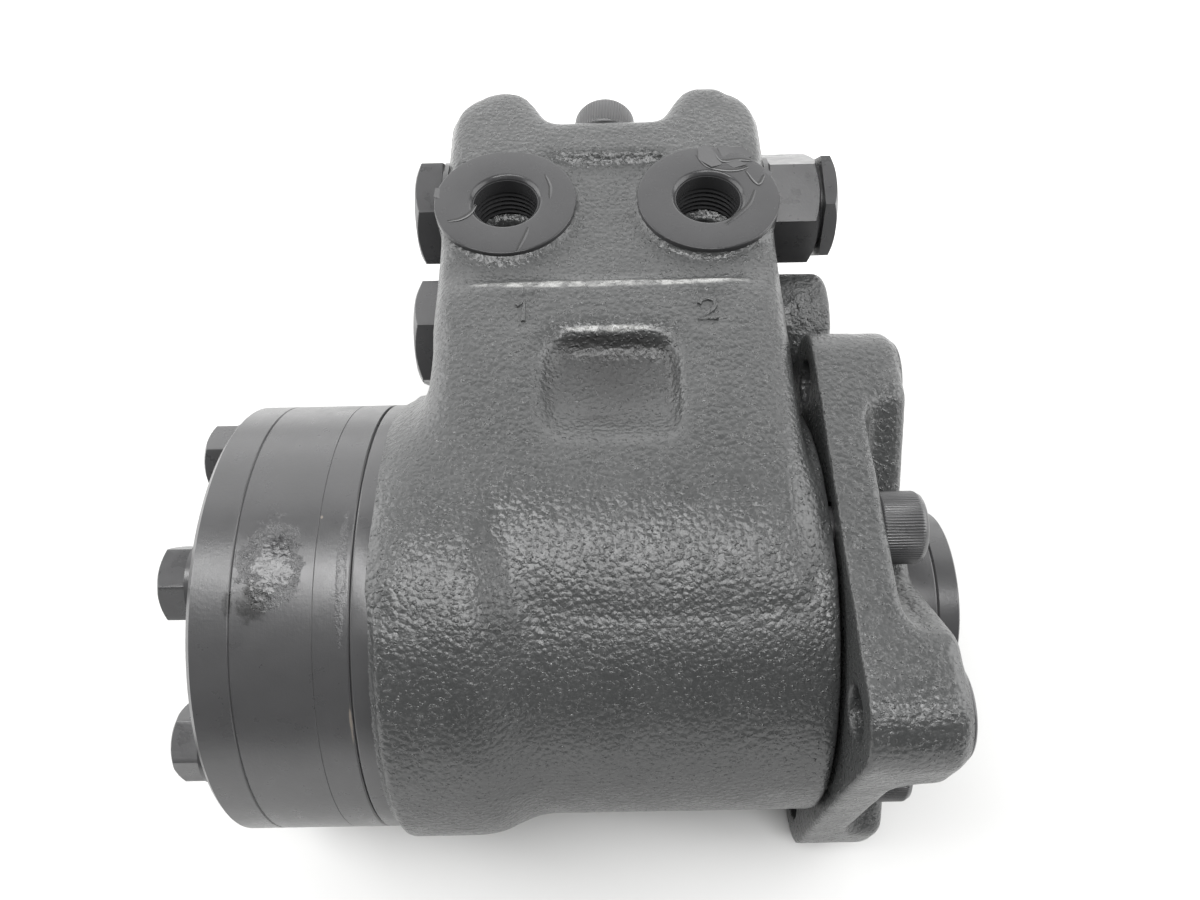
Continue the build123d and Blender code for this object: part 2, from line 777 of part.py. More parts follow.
def mounting_flange():
    """Square flange: a plate that carries the hub, the arms and the lugs."""
    square = RectangleRounded(2 * flange_half, 2 * flange_half, flange_corner)
    body = across(flange_face, -lug_pad_rise, square)
    around = Rectangle(4 * flange_half, 4 * flange_half) - lug_outline()
    cutter = across(valley_floor, 1, around)
    floor = cutter.faces().sort_by(Axis.X)[0]
    body -= fillet(floor.inner_wires()[0].edges(), valley_round)
    body = fillet(body.edges().group_by(Axis.X)[-1], lug_round)
    for y in (-lug_ring, lug_ring):
        for z in (-lug_ring, lug_ring):
            body += rod(valley_floor, 0, lug_pad_radius, y, z)
            body -= rod(flange_face - 1, 1, lug_hole_radius, y, z)
    body += rod(flange_face, spigot_length, spigot_radius)
    body += rod(pilot_face, flange_face, bearing_radius)
    body -= rod(pilot_face - 1, spigot_length + 1, neck_outer + end_play)
    body -= shaft_seal_groove()
    body -= rod(0, spigot_length + 1, dust_seal_radius + seal_play)
    for y, z in flange_spots:
        body -= rod(flange_face - 1, valley_floor + 1, screw_radius + screw_clearance, y, z)
        body -= rod(valley_floor, valley_floor + lug_length, flange_screw_head_radius + screw_clearance, y, z)
    body -= seal_groove(flange_face, 1, flange_seal_circle)
    return body


def shaft_seal_groove():
    start = flange_face + shaft_seal_station - shaft_seal_length - 2 * seal_play
    return rod(start, start + shaft_seal_length + 2 * seal_play, shaft_seal_radius + seal_play)


def shaft_seal():
    start = flange_face + shaft_seal_station - shaft_seal_length - seal_play
    return tube(start, start + shaft_seal_length, shaft_seal_radius, neck_outer + running_clearance)


def dust_seal_retainer():
    """Turned cap on the flange's spigot that carries the dust lip."""
    cap = tube(spigot_length, retainer_face, spigot_radius, dust_seal_radius + seal_play)
    rims = cap.edges().filter_by(GeomType.CIRCLE).sort_by(Axis.X)
    outer = [rim for rim in rims if rim.radius > spigot_radius - 0.5]
    return chamfer(outer, edge_chamfer / 2)


def dust_seal():
    """Lip seal between the spool's neck and the retainer."""
    start = seal_play
    end = retainer_face - edge_chamfer
    lip = tube(start, end, dust_seal_radius, neck_outer + running_clearance)
    flare = dust_seal_radius - edge_chamfer
    recess = Cone(neck_outer, flare, retainer_face - input_end, align=START)
    return lip - Location((input_end, 0, 0), (0, 90, 0)) * recess


def cover_screws():
    screws = []
    length = -cover_face + housing_face + cover_screw_engagement
    seat = cover_face - washer_thickness
    for index, (y, z) in enumerate(cover_spots):
        turn = index * cover_screw_turn
        top = seat - cover_screw_head
        head_shape = hexagon(seat, top, cover_screw_flats, y, z, turn, screw_hex_inset)
        shank = rod(seat, seat + washer_thickness + length, screw_radius, y, z)
        screws.append((head_shape + shank).solid())
    return Compound(children=screws)


def cover_washers():
    washers = []
    for y, z in cover_spots:
        bore = screw_radius + screw_clearance
        ring = tube(cover_face - washer_thickness, cover_face, washer_radius, bore, y, z)
        washers.append(ring.solid())
    return Compound(children=washers)


def flange_screws():
    screws = []
    for y, z in flange_spots:
        top = valley_floor + flange_screw_head
        screw = rod(valley_floor, top, flange_screw_head_radius, y, z)
        rim = screw.edges().filter_by(GeomType.CIRCLE).sort_by(Axis.X)[-1]
        screw = chamfer(rim, edge_chamfer)
        screw += rod(flange_face - flange_screw_engagement, valley_floor, screw_radius, y, z)
        screw -= hexagon(top - flange_screw_socket_depth, top + 1, flange_screw_socket, y, z)
        screws.append(screw.solid())
    return Compound(children=screws)


def gear_set_seals():
    faces = ((gear_face, -1), (distributor_face, 1), (housing_face, -1))
    return Compound(children=[seal_ring(face, side, seal_circle).solid() for face, side in faces])


def bore_plug(y, z, turn):
    """Hexagon plug that closes a valve bore on the gear side."""
    seat = head_left - plug_washer
    plug = hexagon(seat, seat - plug_head, plug_flats, y, z, turn, plug_hex_inset)
    return plug + rod(seat, head_left + plug_thread_length, plug_thread_radius, y, z)


def plug_washers():
    """Washers under the two bore plugs and the relief cartridge."""
    left = head_left - plug_washer
    rings = []
    for start, y, z in (
        (left, relief_reach, relief_height),
        (left, priority_reach, priority_height),
        (head_right, relief_reach, relief_height),
    ):
        bore = plug_thread_radius + screw_clearance
        rings.append(tube(start, start + plug_washer, plug_washer_radius, bore, y, z).solid())
    return Compound(children=rings)


cartridge_seat = head_right + plug_washer
cartridge_end = cartridge_seat + cartridge_head
nose_end = head_right - cartridge_thread_length - cartridge_nose_length
locknut_start = cartridge_end + cartridge_groove
locknut_end = locknut_start + locknut_height
cavity_start = nose_end + cartridge_seat_wall
adjuster_start = cartridge_end - adjuster_depth


def relief_cartridge():
    y, z = relief_reach, relief_height
    turn = cartridge_turn
    body = hexagon(cartridge_seat, cartridge_end, plug_flats, y, z, turn, plug_hex_inset)
    body += rod(head_right - cartridge_thread_length, cartridge_seat, plug_thread_radius, y, z)
    body += rod(nose_end, head_right - cartridge_thread_length, cartridge_nose_radius, y, z)
    body += rod(cartridge_end - 1, locknut_start, cartridge_groove_radius, y, z)
    body -= rod(cavity_start, adjuster_start, cartridge_cavity_radius, y, z)
    body -= rod(nose_end - 1, cavity_start + 1, cartridge_seat_radius, y, z)
    body -= rod(adjuster_start - 1, locknut_start + 1, adjuster_radius + thread_clearance, y, z)
    return body


def relief_locknut():
    y, z = relief_reach, relief_height
    turn = locknut_turn
    nut = hexagon(locknut_start, locknut_end, locknut_flats, y, z, turn, screw_hex_inset)
    return nut - rod(locknut_start - 1, locknut_end + 1, adjuster_radius + thread_clearance, y, z)


def relief_adjuster():
    y, z = relief_reach, relief_height
    end = locknut_end - edge_chamfer
    screw = rod(adjuster_start, end, adjuster_radius, y, z)
    return screw - hexagon(end - adjuster_socket_depth, end + 1, adjuster_socket, y, z)


def relief_poppet():
    y, z = relief_reach, relief_height
    start = cavity_start + spring_end_play
    body = rod(start, start + poppet_length, poppet_radius, y, z)
    return body + rod(start - poppet_tip_length, start, poppet_tip_radius, y, z)


def relief_spring():
    start = cavity_start + spring_end_play + poppet_length + spring_end_play
    radius = cartridge_cavity_radius - relief_wire - relief_spring_play
    end = adjuster_start - spring_end_play
    return coil(start, end, radius, relief_wire, relief_spring_turns, relief_reach, relief_height)


priority_end = head_right + valve_boss_reach - priority_end_wall
spool_start = priority_end - spring_end_play - priority_spool_length


def priority_spool():
    y, z = priority_reach, priority_height
    radius = valve_bore_radius - running_clearance
    end = spool_start + priority_spool_length
    spool = rod(spool_start, end, priority_waist_radius, y, z)
    pitch = (priority_spool_length - priority_land) / (priority_land_count - 1)
    for land in range(priority_land_count):
        start = spool_start + land * pitch
        spool += rod(start, start + priority_land, radius, y, z)
    return spool


def priority_spring():
    start = head_left + plug_thread_length + spring_end_play
    end = spool_start - spring_end_play
    radius = priority_spring_radius
    turns = priority_spring_turns
    return coil(start, end, radius, priority_wire, turns, priority_reach, priority_height)


def gallery_plug():
    """Knurled socket-head plug on the notch floor."""
    plug = along_y(head_x, gallery_height, notch_y, notch_y + gallery_head, gallery_head_radius)
    rim = plug.edges().filter_by(GeomType.CIRCLE).sort_by(Axis.Y)[-1]
    plug = chamfer(rim, edge_chamfer)
    thread_end = notch_y - gallery_thread_length
    plug += along_y(head_x, gallery_height, thread_end, notch_y, gallery_thread_radius)
    hexagon_plan = RegularPolygon(gallery_socket / 2, 6, major_radius=False)
    socket = extrude(hexagon_plan, amount=gallery_socket_depth + 1)
    socket_floor = notch_y + gallery_head - gallery_socket_depth
    place = Location((head_x, socket_floor, gallery_height), (-90, 0, 0))
    return plug - place * socket


def check_seat():
    """Bush pressed into the pressure port's drilling, with a coned seat for the ball."""
    bottom = boss_bottom + port_thread_depth
    seat = post(pressure_x, port_reach, bottom, bottom + check_seat_length, port_drill_radius)
    top = bottom + check_seat_length
    seat -= post(pressure_x, port_reach, bottom - 1, top + 1, check_seat_bore)
    depth = port_drill_radius - check_seat_bore
    cone = Cone(check_seat_bore, port_drill_radius - check_seat_lip, depth, align=START)
    return seat - Pos(pressure_x, port_reach, top - depth) * cone


def ball_height():
    """Height of the ball's centre when it lies on the coned seat."""
    depth = port_drill_radius - check_seat_bore
    slope = math.atan2(port_drill_radius - check_seat_lip - check_seat_bore, depth)
    cone_bottom = boss_bottom + port_thread_depth + check_seat_length - depth
    rise = (check_ball_radius / math.cos(slope) - check_seat_bore) / math.tan(slope)
    return cone_bottom + rise + leaf_play


def check_ball():
    return Pos(pressure_x, port_reach, ball_height()) * Sphere(check_ball_radius)


def check_stop():
    """Ring that limits the ball's lift."""
    bottom = ball_height() + check_ball_lift + check_ball_radius + leaf_play
    top = bottom + check_stop_thickness
    ring = post(pressure_x, port_reach, bottom, top, port_drill_radius)
    return ring - post(pressure_x, port_reach, bottom - 1, top + 1, check_stop_bore)


inner_race, outer_race = bearing_races()
nodes = {
    "housing": housing(),
    "distributor_plate": distributor_plate(),
    "gear_ring": gear_ring(),
    "end_cover": end_cover(),
    "end_cover_screws": cover_screws(),
    "end_cover_washers": cover_washers(),
    "gear_set_seals": gear_set_seals(),
    "mounting_flange": mounting_flange(),
    "flange_screws": flange_screws(),
    "flange_seal": seal_ring(flange_face, 1, flange_seal_circle),
    "shaft_seal": shaft_seal(),
    "dust_seal_retainer": dust_seal_retainer(),
    "dust_seal": dust_seal(),
    "bearing_outer_race": outer_race,
    "bearing_inner_race": inner_race,
    "bearing_needles": bearing_needles(),
    "needle_cage": needle_cage(),
    "control_sleeve": control_sleeve(),
    "cross_pin": cross_pin(),
    "neutral_springs": neutral_springs(),
    "spring_keeper": spring_keeper(),
    "control_spool": control_spool(),
    "cardan_shaft": cardan_shaft(),
    "rotor": rotor(),
    "spacer_disc": spacer_disc(),
    "upper_bore_plug": bore_plug(relief_reach, relief_height, upper_plug_turn),
    "lower_bore_plug": bore_plug(priority_reach, priority_height, 0.0),
    "plug_washers": plug_washers(),
    "relief_cartridge": relief_cartridge(),
    "relief_locknut": relief_locknut(),
    "relief_adjuster": relief_adjuster(),
    "relief_poppet": relief_poppet(),
    "relief_spring": relief_spring(),
    "priority_spool": priority_spool(),
    "priority_spring": priority_spring(),
    "gallery_plug": gallery_plug(),
    "check_seat": check_seat(),
    "check_ball": check_ball(),
    "check_stop": check_stop(),
}

os.makedirs("parts", exist_ok=True)
for name, shape in nodes.items():
    export_step(shape, f"parts/{name}.step")
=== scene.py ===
import json
import math

import bmesh
import bpy
import numpy as np
from mathutils import Matrix, Vector, noise


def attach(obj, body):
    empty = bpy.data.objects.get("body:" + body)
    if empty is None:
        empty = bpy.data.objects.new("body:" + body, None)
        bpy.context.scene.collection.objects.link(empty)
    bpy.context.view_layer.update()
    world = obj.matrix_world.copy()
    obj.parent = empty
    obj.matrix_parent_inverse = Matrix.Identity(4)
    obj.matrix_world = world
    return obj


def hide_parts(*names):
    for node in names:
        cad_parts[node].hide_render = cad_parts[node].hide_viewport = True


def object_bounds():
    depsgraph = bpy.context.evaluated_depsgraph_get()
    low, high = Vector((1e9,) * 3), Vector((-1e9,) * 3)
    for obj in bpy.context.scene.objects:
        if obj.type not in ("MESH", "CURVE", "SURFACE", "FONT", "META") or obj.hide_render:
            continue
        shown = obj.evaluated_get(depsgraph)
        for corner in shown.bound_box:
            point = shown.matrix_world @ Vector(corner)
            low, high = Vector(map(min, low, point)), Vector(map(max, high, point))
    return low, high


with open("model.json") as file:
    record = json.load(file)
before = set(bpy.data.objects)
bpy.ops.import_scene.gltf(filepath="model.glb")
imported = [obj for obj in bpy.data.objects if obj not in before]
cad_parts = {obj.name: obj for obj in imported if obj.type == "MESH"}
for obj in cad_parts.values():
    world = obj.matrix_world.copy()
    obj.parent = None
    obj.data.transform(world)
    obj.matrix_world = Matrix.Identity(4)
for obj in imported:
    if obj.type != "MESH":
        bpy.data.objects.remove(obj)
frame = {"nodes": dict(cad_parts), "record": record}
cad_low, cad_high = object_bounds()
nodes = frame["nodes"]

MM = 0.001
TURN = 2 * math.pi

# Stations of the CAD model, in millimetres.
PORT_X = (-93.75, -41.75)
PORT_Y = 88.7
PORT_TOP = 54.3
PORT_RADIUS = 8.25
PORT_SLEEVE = 13.6
PORT_FACE_RADIUS = 18.2
HEAD_TOP = 54.5
HOUSING_FACE = -122.0
COVER_SEAT = -156.9
PLUG_WASHER = 1.4
GEAR_RADIUS = 52.0
VALLEY_FLOOR = -11.0
SCREW_RING = 41.25
LUG_PLACE = 40.0
RELIEF = (104.5, 33.7)
PRIORITY = (72.5, 20.0)
HEAD_LEFT = -110.5
HEAD_X = -67.75
HEAD_RIGHT = -25.0
NOTCH_Y = 121.0
BAND_ENDS = (62.0, 105.0)
NUMERALS = ((-88.2, 52.3), (-44.5, 51.9))
POCKET_Y = 30.2
GALLERY_HEIGHT = 43.6
COVER_SCREWS = 7
COVER_SCREW_START = 103.2
COVER_SCREW_TURN = 17.0

# Angles in degrees: mesh edges shade smooth up to the first, or on a hexagon up to the second; the
# last is the slope of a hexagon's chamfer.
SMOOTH_UP_TO = 38
CRISP_ABOVE = 20
HEX_CHAMFER = 30

# How far a shank stops short of its head's seat, so that the two rings keep apart.
SEAT_GAP = 0.02

# Room between the floor and the part's lowest point, and half the floor's side, in metres.
FLOOR_GAP = 0.0002
FLOOR_HALF = 3.0


# ---------------------------------------------------------------- camera and light

def camera():
    """Camera above the near side of the barrel, looking down on the work ports."""
    elevation, pan, roll = math.radians(58.8), math.radians(-0.33), math.radians(-1.10)
    s, c = math.sin(elevation), math.cos(elevation)
    tilt = np.array([[1, 0, 0], [0, -s, -c], [0, c, -s]])
    cp, sp = math.cos(pan), math.sin(pan)
    yaw = np.array([[cp, 0, -sp], [0, 1, 0], [sp, 0, cp]])
    cr, sr = math.cos(roll), math.sin(roll)
    turn = np.array([[cr, -sr, 0], [sr, cr, 0], [0, 0, 1]])
    right, down, ahead = turn @ yaw @ tilt
    place = Matrix.Identity(4)
    for row in range(3):
        place[row][0] = right[row]
        place[row][1] = -down[row]
        place[row][2] = -ahead[row]
    place.translation = Vector((-0.0693, -0.0929, 0.2298))
    data = bpy.data.cameras.new("camera")
    data.sensor_width = 36
    data.lens = 28.65
    data.clip_start = 0.01
    eye = bpy.data.objects.new("camera", data)
    eye.matrix_world = place
    bpy.context.scene.collection.objects.link(eye)
    bpy.context.scene.camera = eye


def area_light(name, place, target, width, depth, radiance):
    """Soft box of a given brightness, turned towards a target."""
    data = bpy.data.lights.new(name, "AREA")
    data.shape = "RECTANGLE"
    data.size, data.size_y = width, depth
    data.energy = radiance * math.pi * width * depth
    lamp = bpy.data.objects.new(name, data)
    lamp.location = place
    lamp.rotation_euler = (Vector(target) - Vector(place)).to_track_quat("-Z", "Y").to_euler()
    bpy.context.scene.collection.objects.link(lamp)


def white_floor():
    """White paper under the part, which keeps the part's shadow and is pure white further off."""
    mesh = bpy.data.meshes.new("floor")
    corners = [(x * FLOOR_HALF, y * FLOOR_HALF, 0) for x, y in ((-1, -1), (1, -1), (1, 1), (-1, 1))]
    mesh.from_pydata(corners, [], [(0, 1, 2, 3)])
    floor = bpy.data.objects.new("floor", mesh)
    floor.location = (0, 0, cad_low.z - FLOOR_GAP)
    bpy.context.scene.collection.objects.link(floor)
    paper = bpy.data.materials.new("white_paper")
    paper.use_nodes = True
    tree = paper.node_tree
    tree.nodes.clear()
    out = tree.nodes.new("ShaderNodeOutputMaterial")
    add = tree.nodes.new("ShaderNodeAddShader")
    diffuse = tree.nodes.new("ShaderNodeBsdfDiffuse")
    diffuse.inputs["Color"].default_value = (0.50, 0.50, 0.496, 1)
    glow = tree.nodes.new("ShaderNodeEmission")
    tree.links.new(diffuse.outputs[0], add.inputs[0])
    tree.links.new(glow.outputs[0], add.inputs[1])
    tree.links.new(add.outputs[0], out.inputs["Surface"])
    tree.links.new(far_glow(tree, seen_rays(tree, 0.85)), glow.inputs["Strength"])
    floor.data.materials.append(paper)


def studio_light():
    """Dim room, a long box overhead, two behind the head and one at each side."""
    world = bpy.data.worlds.new("studio")
    bpy.context.scene.world = world
    world.use_nodes = True
    background = world.node_tree.nodes["Background"]
    background.inputs["Color"].default_value = (1, 1, 1, 1)
    background.inputs["Strength"].default_value = 0.12

    area_light("overhead", (-0.25, -0.30, 1.6), (-0.08, 0.0, 0.0), 1.8, 0.5, 14.0)
    area_light("back", (-0.07, 1.05, 1.00), (-0.07, 0.05, 0.0), 1.8, 0.9, 2.5)
    area_light("low_back", (-0.07, 1.20, 0.32), (-0.07, 0.05, 0.0), 2.4, 0.5, 3.0)
    area_light("left", (-1.0, 0.25, 0.40), (-0.07, 0.03, 0.0), 1.0, 0.75, 5.2)
    area_light("right", (0.9, 0.15, 0.55), (-0.07, 0.03, 0.0), 1.0, 1.0, 5.2)


def far_glow(tree, strength):
    """The given strength away from the part, fading to nothing beside it; distances in metres."""
    place = tree.nodes.new("ShaderNodeTexCoord")
    length = tree.nodes.new("ShaderNodeVectorMath")
    length.operation = "DISTANCE"
    tree.links.new(place.outputs["Object"], length.inputs[0])
    length.inputs[1].default_value = (-0.06, 0.03, 0)
    ramp = tree.nodes.new("ShaderNodeMapRange")
    ramp.interpolation_type = "SMOOTHSTEP"
    ramp.inputs["From Min"].default_value = 0.12
    ramp.inputs["From Max"].default_value = 0.30
    tree.links.new(length.outputs["Value"], ramp.inputs["Value"])
    scale = tree.nodes.new("ShaderNodeMath")
    scale.operation = "MULTIPLY"
    tree.links.new(ramp.outputs[0], scale.inputs[0])
    tree.links.new(strength, scale.inputs[1])
    return scale.outputs[0]


def seen_rays(tree, strength):
    """Strength for camera, glossy and transmission rays alone."""
    path = tree.nodes.new("ShaderNodeLightPath")
    total = path.outputs["Is Camera Ray"]
    for name in ("Is Glossy Ray", "Is Transmission Ray"):
        most = tree.nodes.new("ShaderNodeMath")
        most.operation = "MAXIMUM"
        tree.links.new(total, most.inputs[0])
        tree.links.new(path.outputs[name], most.inputs[1])
        total = most.outputs[0]
    scale = tree.nodes.new("ShaderNodeMath")
    scale.operation = "MULTIPLY"
    tree.links.new(total, scale.inputs[0])
    scale.inputs[1].default_value = strength
    return scale.outputs[0]


# ---------------------------------------------------------------- materials

class Shader:
    """A Principled material whose colour, roughness and relief come from nodes."""

    def __init__(self, name, roughness=0.4, metallic=0.0, **fixed):
        self.material = bpy.data.materials.new(name)
        self.material.use_nodes = True
        self.tree = self.material.node_tree
        self.shader = self.tree.nodes["Principled BSDF"]
        self.shader.inputs["Roughness"].default_value = roughness
        self.shader.inputs["Metallic"].default_value = metallic
        for key, value in fixed.items():
            self.shader.inputs[key.replace("_", " ")].default_value = value
        self.place = self.node("ShaderNodeTexCoord").outputs["Object"]
        self.relief = None

    def node(self, kind, **settings):
        """New node with the given settings."""
        made = self.tree.nodes.new(kind)
        for key, value in settings.items():
            setattr(made, key, value)
        return made

    def link(self, source, target):
        """Wire from one socket to another."""
        self.tree.links.new(source, target)

    def stretched(self, scale):
        """Object coordinates with a scale of their own each way."""
        mapping = self.node("ShaderNodeMapping")
        mapping.inputs["Scale"].default_value = scale
        self.link(self.place, mapping.inputs["Vector"])
        return mapping.outputs[0]

    def noise(self, scale, detail=2.0, rough=0.5, vector=None):
        """Cloudy pattern from 0 to 1; a scale of 1000 gives lumps of about a millimetre."""
        made = self.node("ShaderNodeTexNoise")
        made.inputs["Scale"].default_value = scale
        made.inputs["Detail"].default_value = detail
        made.inputs["Roughness"].default_value = rough
        self.link(vector or self.place, made.inputs["Vector"])
        return made.outputs["Fac"]

    def cells(self, scale, smooth, vector):
        """Distance to the middle of the nearest of many cells, with soft walls between them."""
        made = self.node("ShaderNodeTexVoronoi", feature="SMOOTH_F1")
        made.inputs["Scale"].default_value = scale
        made.inputs["Smoothness"].default_value = smooth
        self.link(vector, made.inputs["Vector"])
        return made.outputs["Distance"]

    def bent(self, reach, scale):
        """Object coordinates pushed about by noise, so that cells lose their straight sides."""
        made = self.node("ShaderNodeTexNoise")
        made.inputs["Scale"].default_value = scale
        self.link(self.place, made.inputs["Vector"])
        push = self.node("ShaderNodeVectorMath", operation="MULTIPLY_ADD")
        self.link(made.outputs["Color"], push.inputs[0])
        push.inputs[1].default_value = (reach, reach, reach)
        self.link(self.place, push.inputs[2])
        return push.outputs[0]

    def span(self, value, low, high, to_low=0.0, to_high=1.0):
        """A value carried from one range to another, held at its ends."""
        made = self.node("ShaderNodeMapRange", clamp=True)
        made.inputs["From Min"].default_value = low
        made.inputs["From Max"].default_value = high
        made.inputs["To Min"].default_value = to_low
        made.inputs["To Max"].default_value = to_high
        self.link(value, made.inputs["Value"])
        return made.outputs[0]

    def math(self, operation, a, b):
        """Result of an operation on two sockets or numbers."""
        made = self.node("ShaderNodeMath", operation=operation)
        for socket, value in zip(made.inputs, (a, b)):
            if isinstance(value, (int, float)):
                socket.default_value = value
            else:
                self.link(value, socket)
        return made.outputs[0]

    def mix(self, factor, first, second):
        """Colour between two colours or sockets."""
        made = self.node("ShaderNodeMix", data_type="RGBA")
        self.link(factor, made.inputs["Factor"])
        for socket, value in ((made.inputs[6], first), (made.inputs[7], second)):
            if isinstance(value, tuple):
                socket.default_value = (*value, 1.0)
            else:
                self.link(value, socket)
        return made.outputs[2]

    def colour(self, source):
        """Use a socket as the colour."""
        self.link(source, self.shader.inputs["Base Color"])

    def roughness(self, source):
        """Use a socket as the roughness."""
        self.link(source, self.shader.inputs["Roughness"])

    def bump(self, height, distance):
        """Relief of a height in metres, laid over the relief made so far."""
        made = self.node("ShaderNodeBump")
        made.inputs["Distance"].default_value = distance
        self.link(height, made.inputs["Height"])
        if self.relief is not None:
            self.link(self.relief, made.inputs["Normal"])
        self.relief = made.outputs[0]
        self.link(self.relief, self.shader.inputs["Normal"])

    def cylinder(self):
        """Station along the input axis in mm, and angle about it in degrees from +Y towards +Z."""
        split = self.node("ShaderNodeSeparateXYZ")
        self.link(self.place, split.inputs[0])
        station = self.math("MULTIPLY", split.outputs["X"], 1 / MM)
        angle = self.math("ARCTAN2", split.outputs["Z"], split.outputs["Y"])
        return station, self.math("MULTIPLY", angle, 360 / TURN)

    def patch(self, station, angle, along, around, ragged):
        """Ragged spot on a turned face, given the centre and half size both ways."""
        reach = None
        for value, (centre, half) in ((station, along), (angle, around)):
            off = self.math("DIVIDE", self.math("SUBTRACT", value, centre), half)
            square = self.math("MULTIPLY", off, off)
            reach = square if reach is None else self.math("ADD", reach, square)
        inside = self.math("SUBTRACT", 1.0, reach)
        return self.span(self.math("ADD", inside, self.math("MULTIPLY", ragged, 3.2)), 1.6, 2.3)

    def near(self, centre, size):
        """1 at a point in millimetres, falling to 0 at the given half sizes."""
        shift = self.node("ShaderNodeVectorMath", operation="SUBTRACT")
        self.link(self.place, shift.inputs[0])
        shift.inputs[1].default_value = [value * MM for value in centre]
        scale = self.node("ShaderNodeVectorMath", operation="MULTIPLY")
        self.link(shift.outputs[0], scale.inputs[0])
        scale.inputs[1].default_value = [1 / (value * MM) for value in size]
        length = self.node("ShaderNodeVectorMath", operation="LENGTH")
        self.link(scale.outputs[0], length.inputs[0])
        return self.math("SUBTRACT", 1.0, length.outputs["Value"])


def painted_lip_highlight(paint, centre, size):
    """Broken streak of painted highlight, from 0 to 1, along a lip of the casting."""
    lip_highlight = paint.span(paint.near(centre, size), 0.0, 0.25)
    return paint.math("MULTIPLY", lip_highlight, paint.span(paint.noise(420, 3, 0.6), 0.40, 0.58, 0.25, 1.0))


def cast_paint(name="cast_paint", housing=False):
    """Semi-gloss black paint over a sand casting: fine pebbles, finer grain and bright grains.

    The housing's paint adds a rough valve boss, painted pocket shade, and two painted lip highlights.
    """
    paint = Shader(name, Specular_IOR_Level=0.5)
    base = paint.mix(paint.noise(55, 3), (0.027, 0.028, 0.028), (0.042, 0.043, 0.043))
    # Pale flecks mixed into the colour at random.
    pale_flecks = paint.span(paint.noise(900, 2, 0.6), 0.66, 0.8, 0.0, 0.3)
    colour = paint.mix(pale_flecks, base, (0.12, 0.12, 0.115))
    rough = paint.span(paint.noise(140, 4, 0.65), 0.3, 0.7, 0.26, 0.38)
    bent = paint.bent(0.0006, 900)
    paint.bump(paint.math("SUBTRACT", 1.0, paint.cells(820, 0.35, bent)), 0.00020)
    paint.bump(paint.noise(1500, 3, 0.6), 0.00008)
    grains = paint.span(paint.noise(1150, 1, 0.5), 0.58, 0.76)
    paint.bump(grains, 0.00016)
    rough = paint.math("SUBTRACT", rough, paint.math("MULTIPLY", grains, 0.14))
    paint.bump(paint.noise(2600, 2, 0.5), 0.00003)
    if housing:
        boss = paint.span(paint.near((-13.0, 72.5, 24.0), (12.0, 19.0, 19.0)), 0.0, 0.3)
        paint.bump(paint.math("MULTIPLY", boss, paint.noise(420, 3, 0.6)), 0.0016)
        # Painted shade: the pocket's floor and walls are darker in colour, and their paint is rougher.
        pocket = paint.span(paint.near((HEAD_X, 37.0, 51.0), (18.0, 17.0, 3.2)), 0.0, 0.35)
        colour = paint.mix(pocket, colour, (0.016, 0.016, 0.016))
        rough = paint.math("ADD", rough, paint.math("MULTIPLY", pocket, 0.08))
        # Painted highlights: two lips of the casting are lighter in colour, and their paint is
        # smoother.
        for centre, size in (
            ((HEAD_X, 61.0, 54.0), (37.0, 1.9, 1.9)),
            ((HEAD_X, 46.9, 54.2), (13.0, 1.1, 1.4)),
        ):
            lip_highlight = painted_lip_highlight(paint, centre, size)
            colour = paint.mix(paint.math("MULTIPLY", lip_highlight, 0.55), colour, (0.33, 0.33, 0.32))
            rough = paint.math("SUBTRACT", rough, paint.math("MULTIPLY", lip_highlight, 0.12))
    paint.colour(colour)
    paint.roughness(rough)
    return paint.material


def machined_paint(name="machined_paint", marked=False):
    """Satin black paint over turned steel, with faint turning lines.

    When marked it has the gear end's stain with two dark spots, a strip of rough paint, a scratch
    and a bright speck.
    """
    paint = Shader(name, Specular_IOR_Level=0.45)
    colour = paint.mix(paint.noise(80, 4, 0.6), (0.036, 0.036, 0.037), (0.050, 0.050, 0.051))
    rough = paint.span(paint.noise(220, 4, 0.6), 0.3, 0.7, 0.26, 0.34)
    paint.bump(paint.noise(1.0, 2, 0.6, paint.stretched((3200, 60, 60))), 0.000010)
    paint.bump(paint.noise(1300, 3, 0.6), 0.000028)
    if marked:
        station, angle = paint.cylinder()
        ragged = paint.noise(420, 5, 0.75)
        stain = paint.patch(station, angle, (-138.6, 6.8), (101.8, 10.5), ragged)
        paint.bump(paint.math("MULTIPLY", stain, paint.noise(760, 2, 0.5)), 0.00017)
        dark = paint.span(paint.noise(260, 4, 0.7), 0.42, 0.60, 0.2, 1.0)
        blotch = paint.math("MULTIPLY", stain, dark)
        colour = paint.mix(blotch, colour, (0.012, 0.012, 0.013))
        rough = paint.math("SUBTRACT", rough, paint.math("MULTIPLY", stain, 0.07))
        spot = paint.patch(station, angle, (-141.8, 4.2), (110.0, 5.2), ragged)
        smear = paint.patch(station, angle, (-146.8, 1.4), (110.6, 3.2), ragged)
        colour = paint.mix(paint.math("MAXIMUM", spot, smear), colour, (0.006, 0.006, 0.006))
        strip = paint.patch(station, angle, (-123.9, 1.1), (105.0, 16.0), ragged)
        paint.bump(paint.math("MULTIPLY", strip, paint.noise(1100, 3, 0.6)), 0.00010)
        scratch = paint.patch(station, angle, (-122.4, 0.28), (138.5, 5.0), ragged)
        speck = paint.patch(station, angle, (-129.1, 0.28), (90.4, 0.4), ragged)
        worn = paint.math("MAXIMUM", scratch, speck)
        colour = paint.mix(paint.math("MULTIPLY", worn, 0.5), colour, (0.22, 0.19, 0.16))
    paint.colour(colour)
    paint.roughness(rough)
    return paint.material


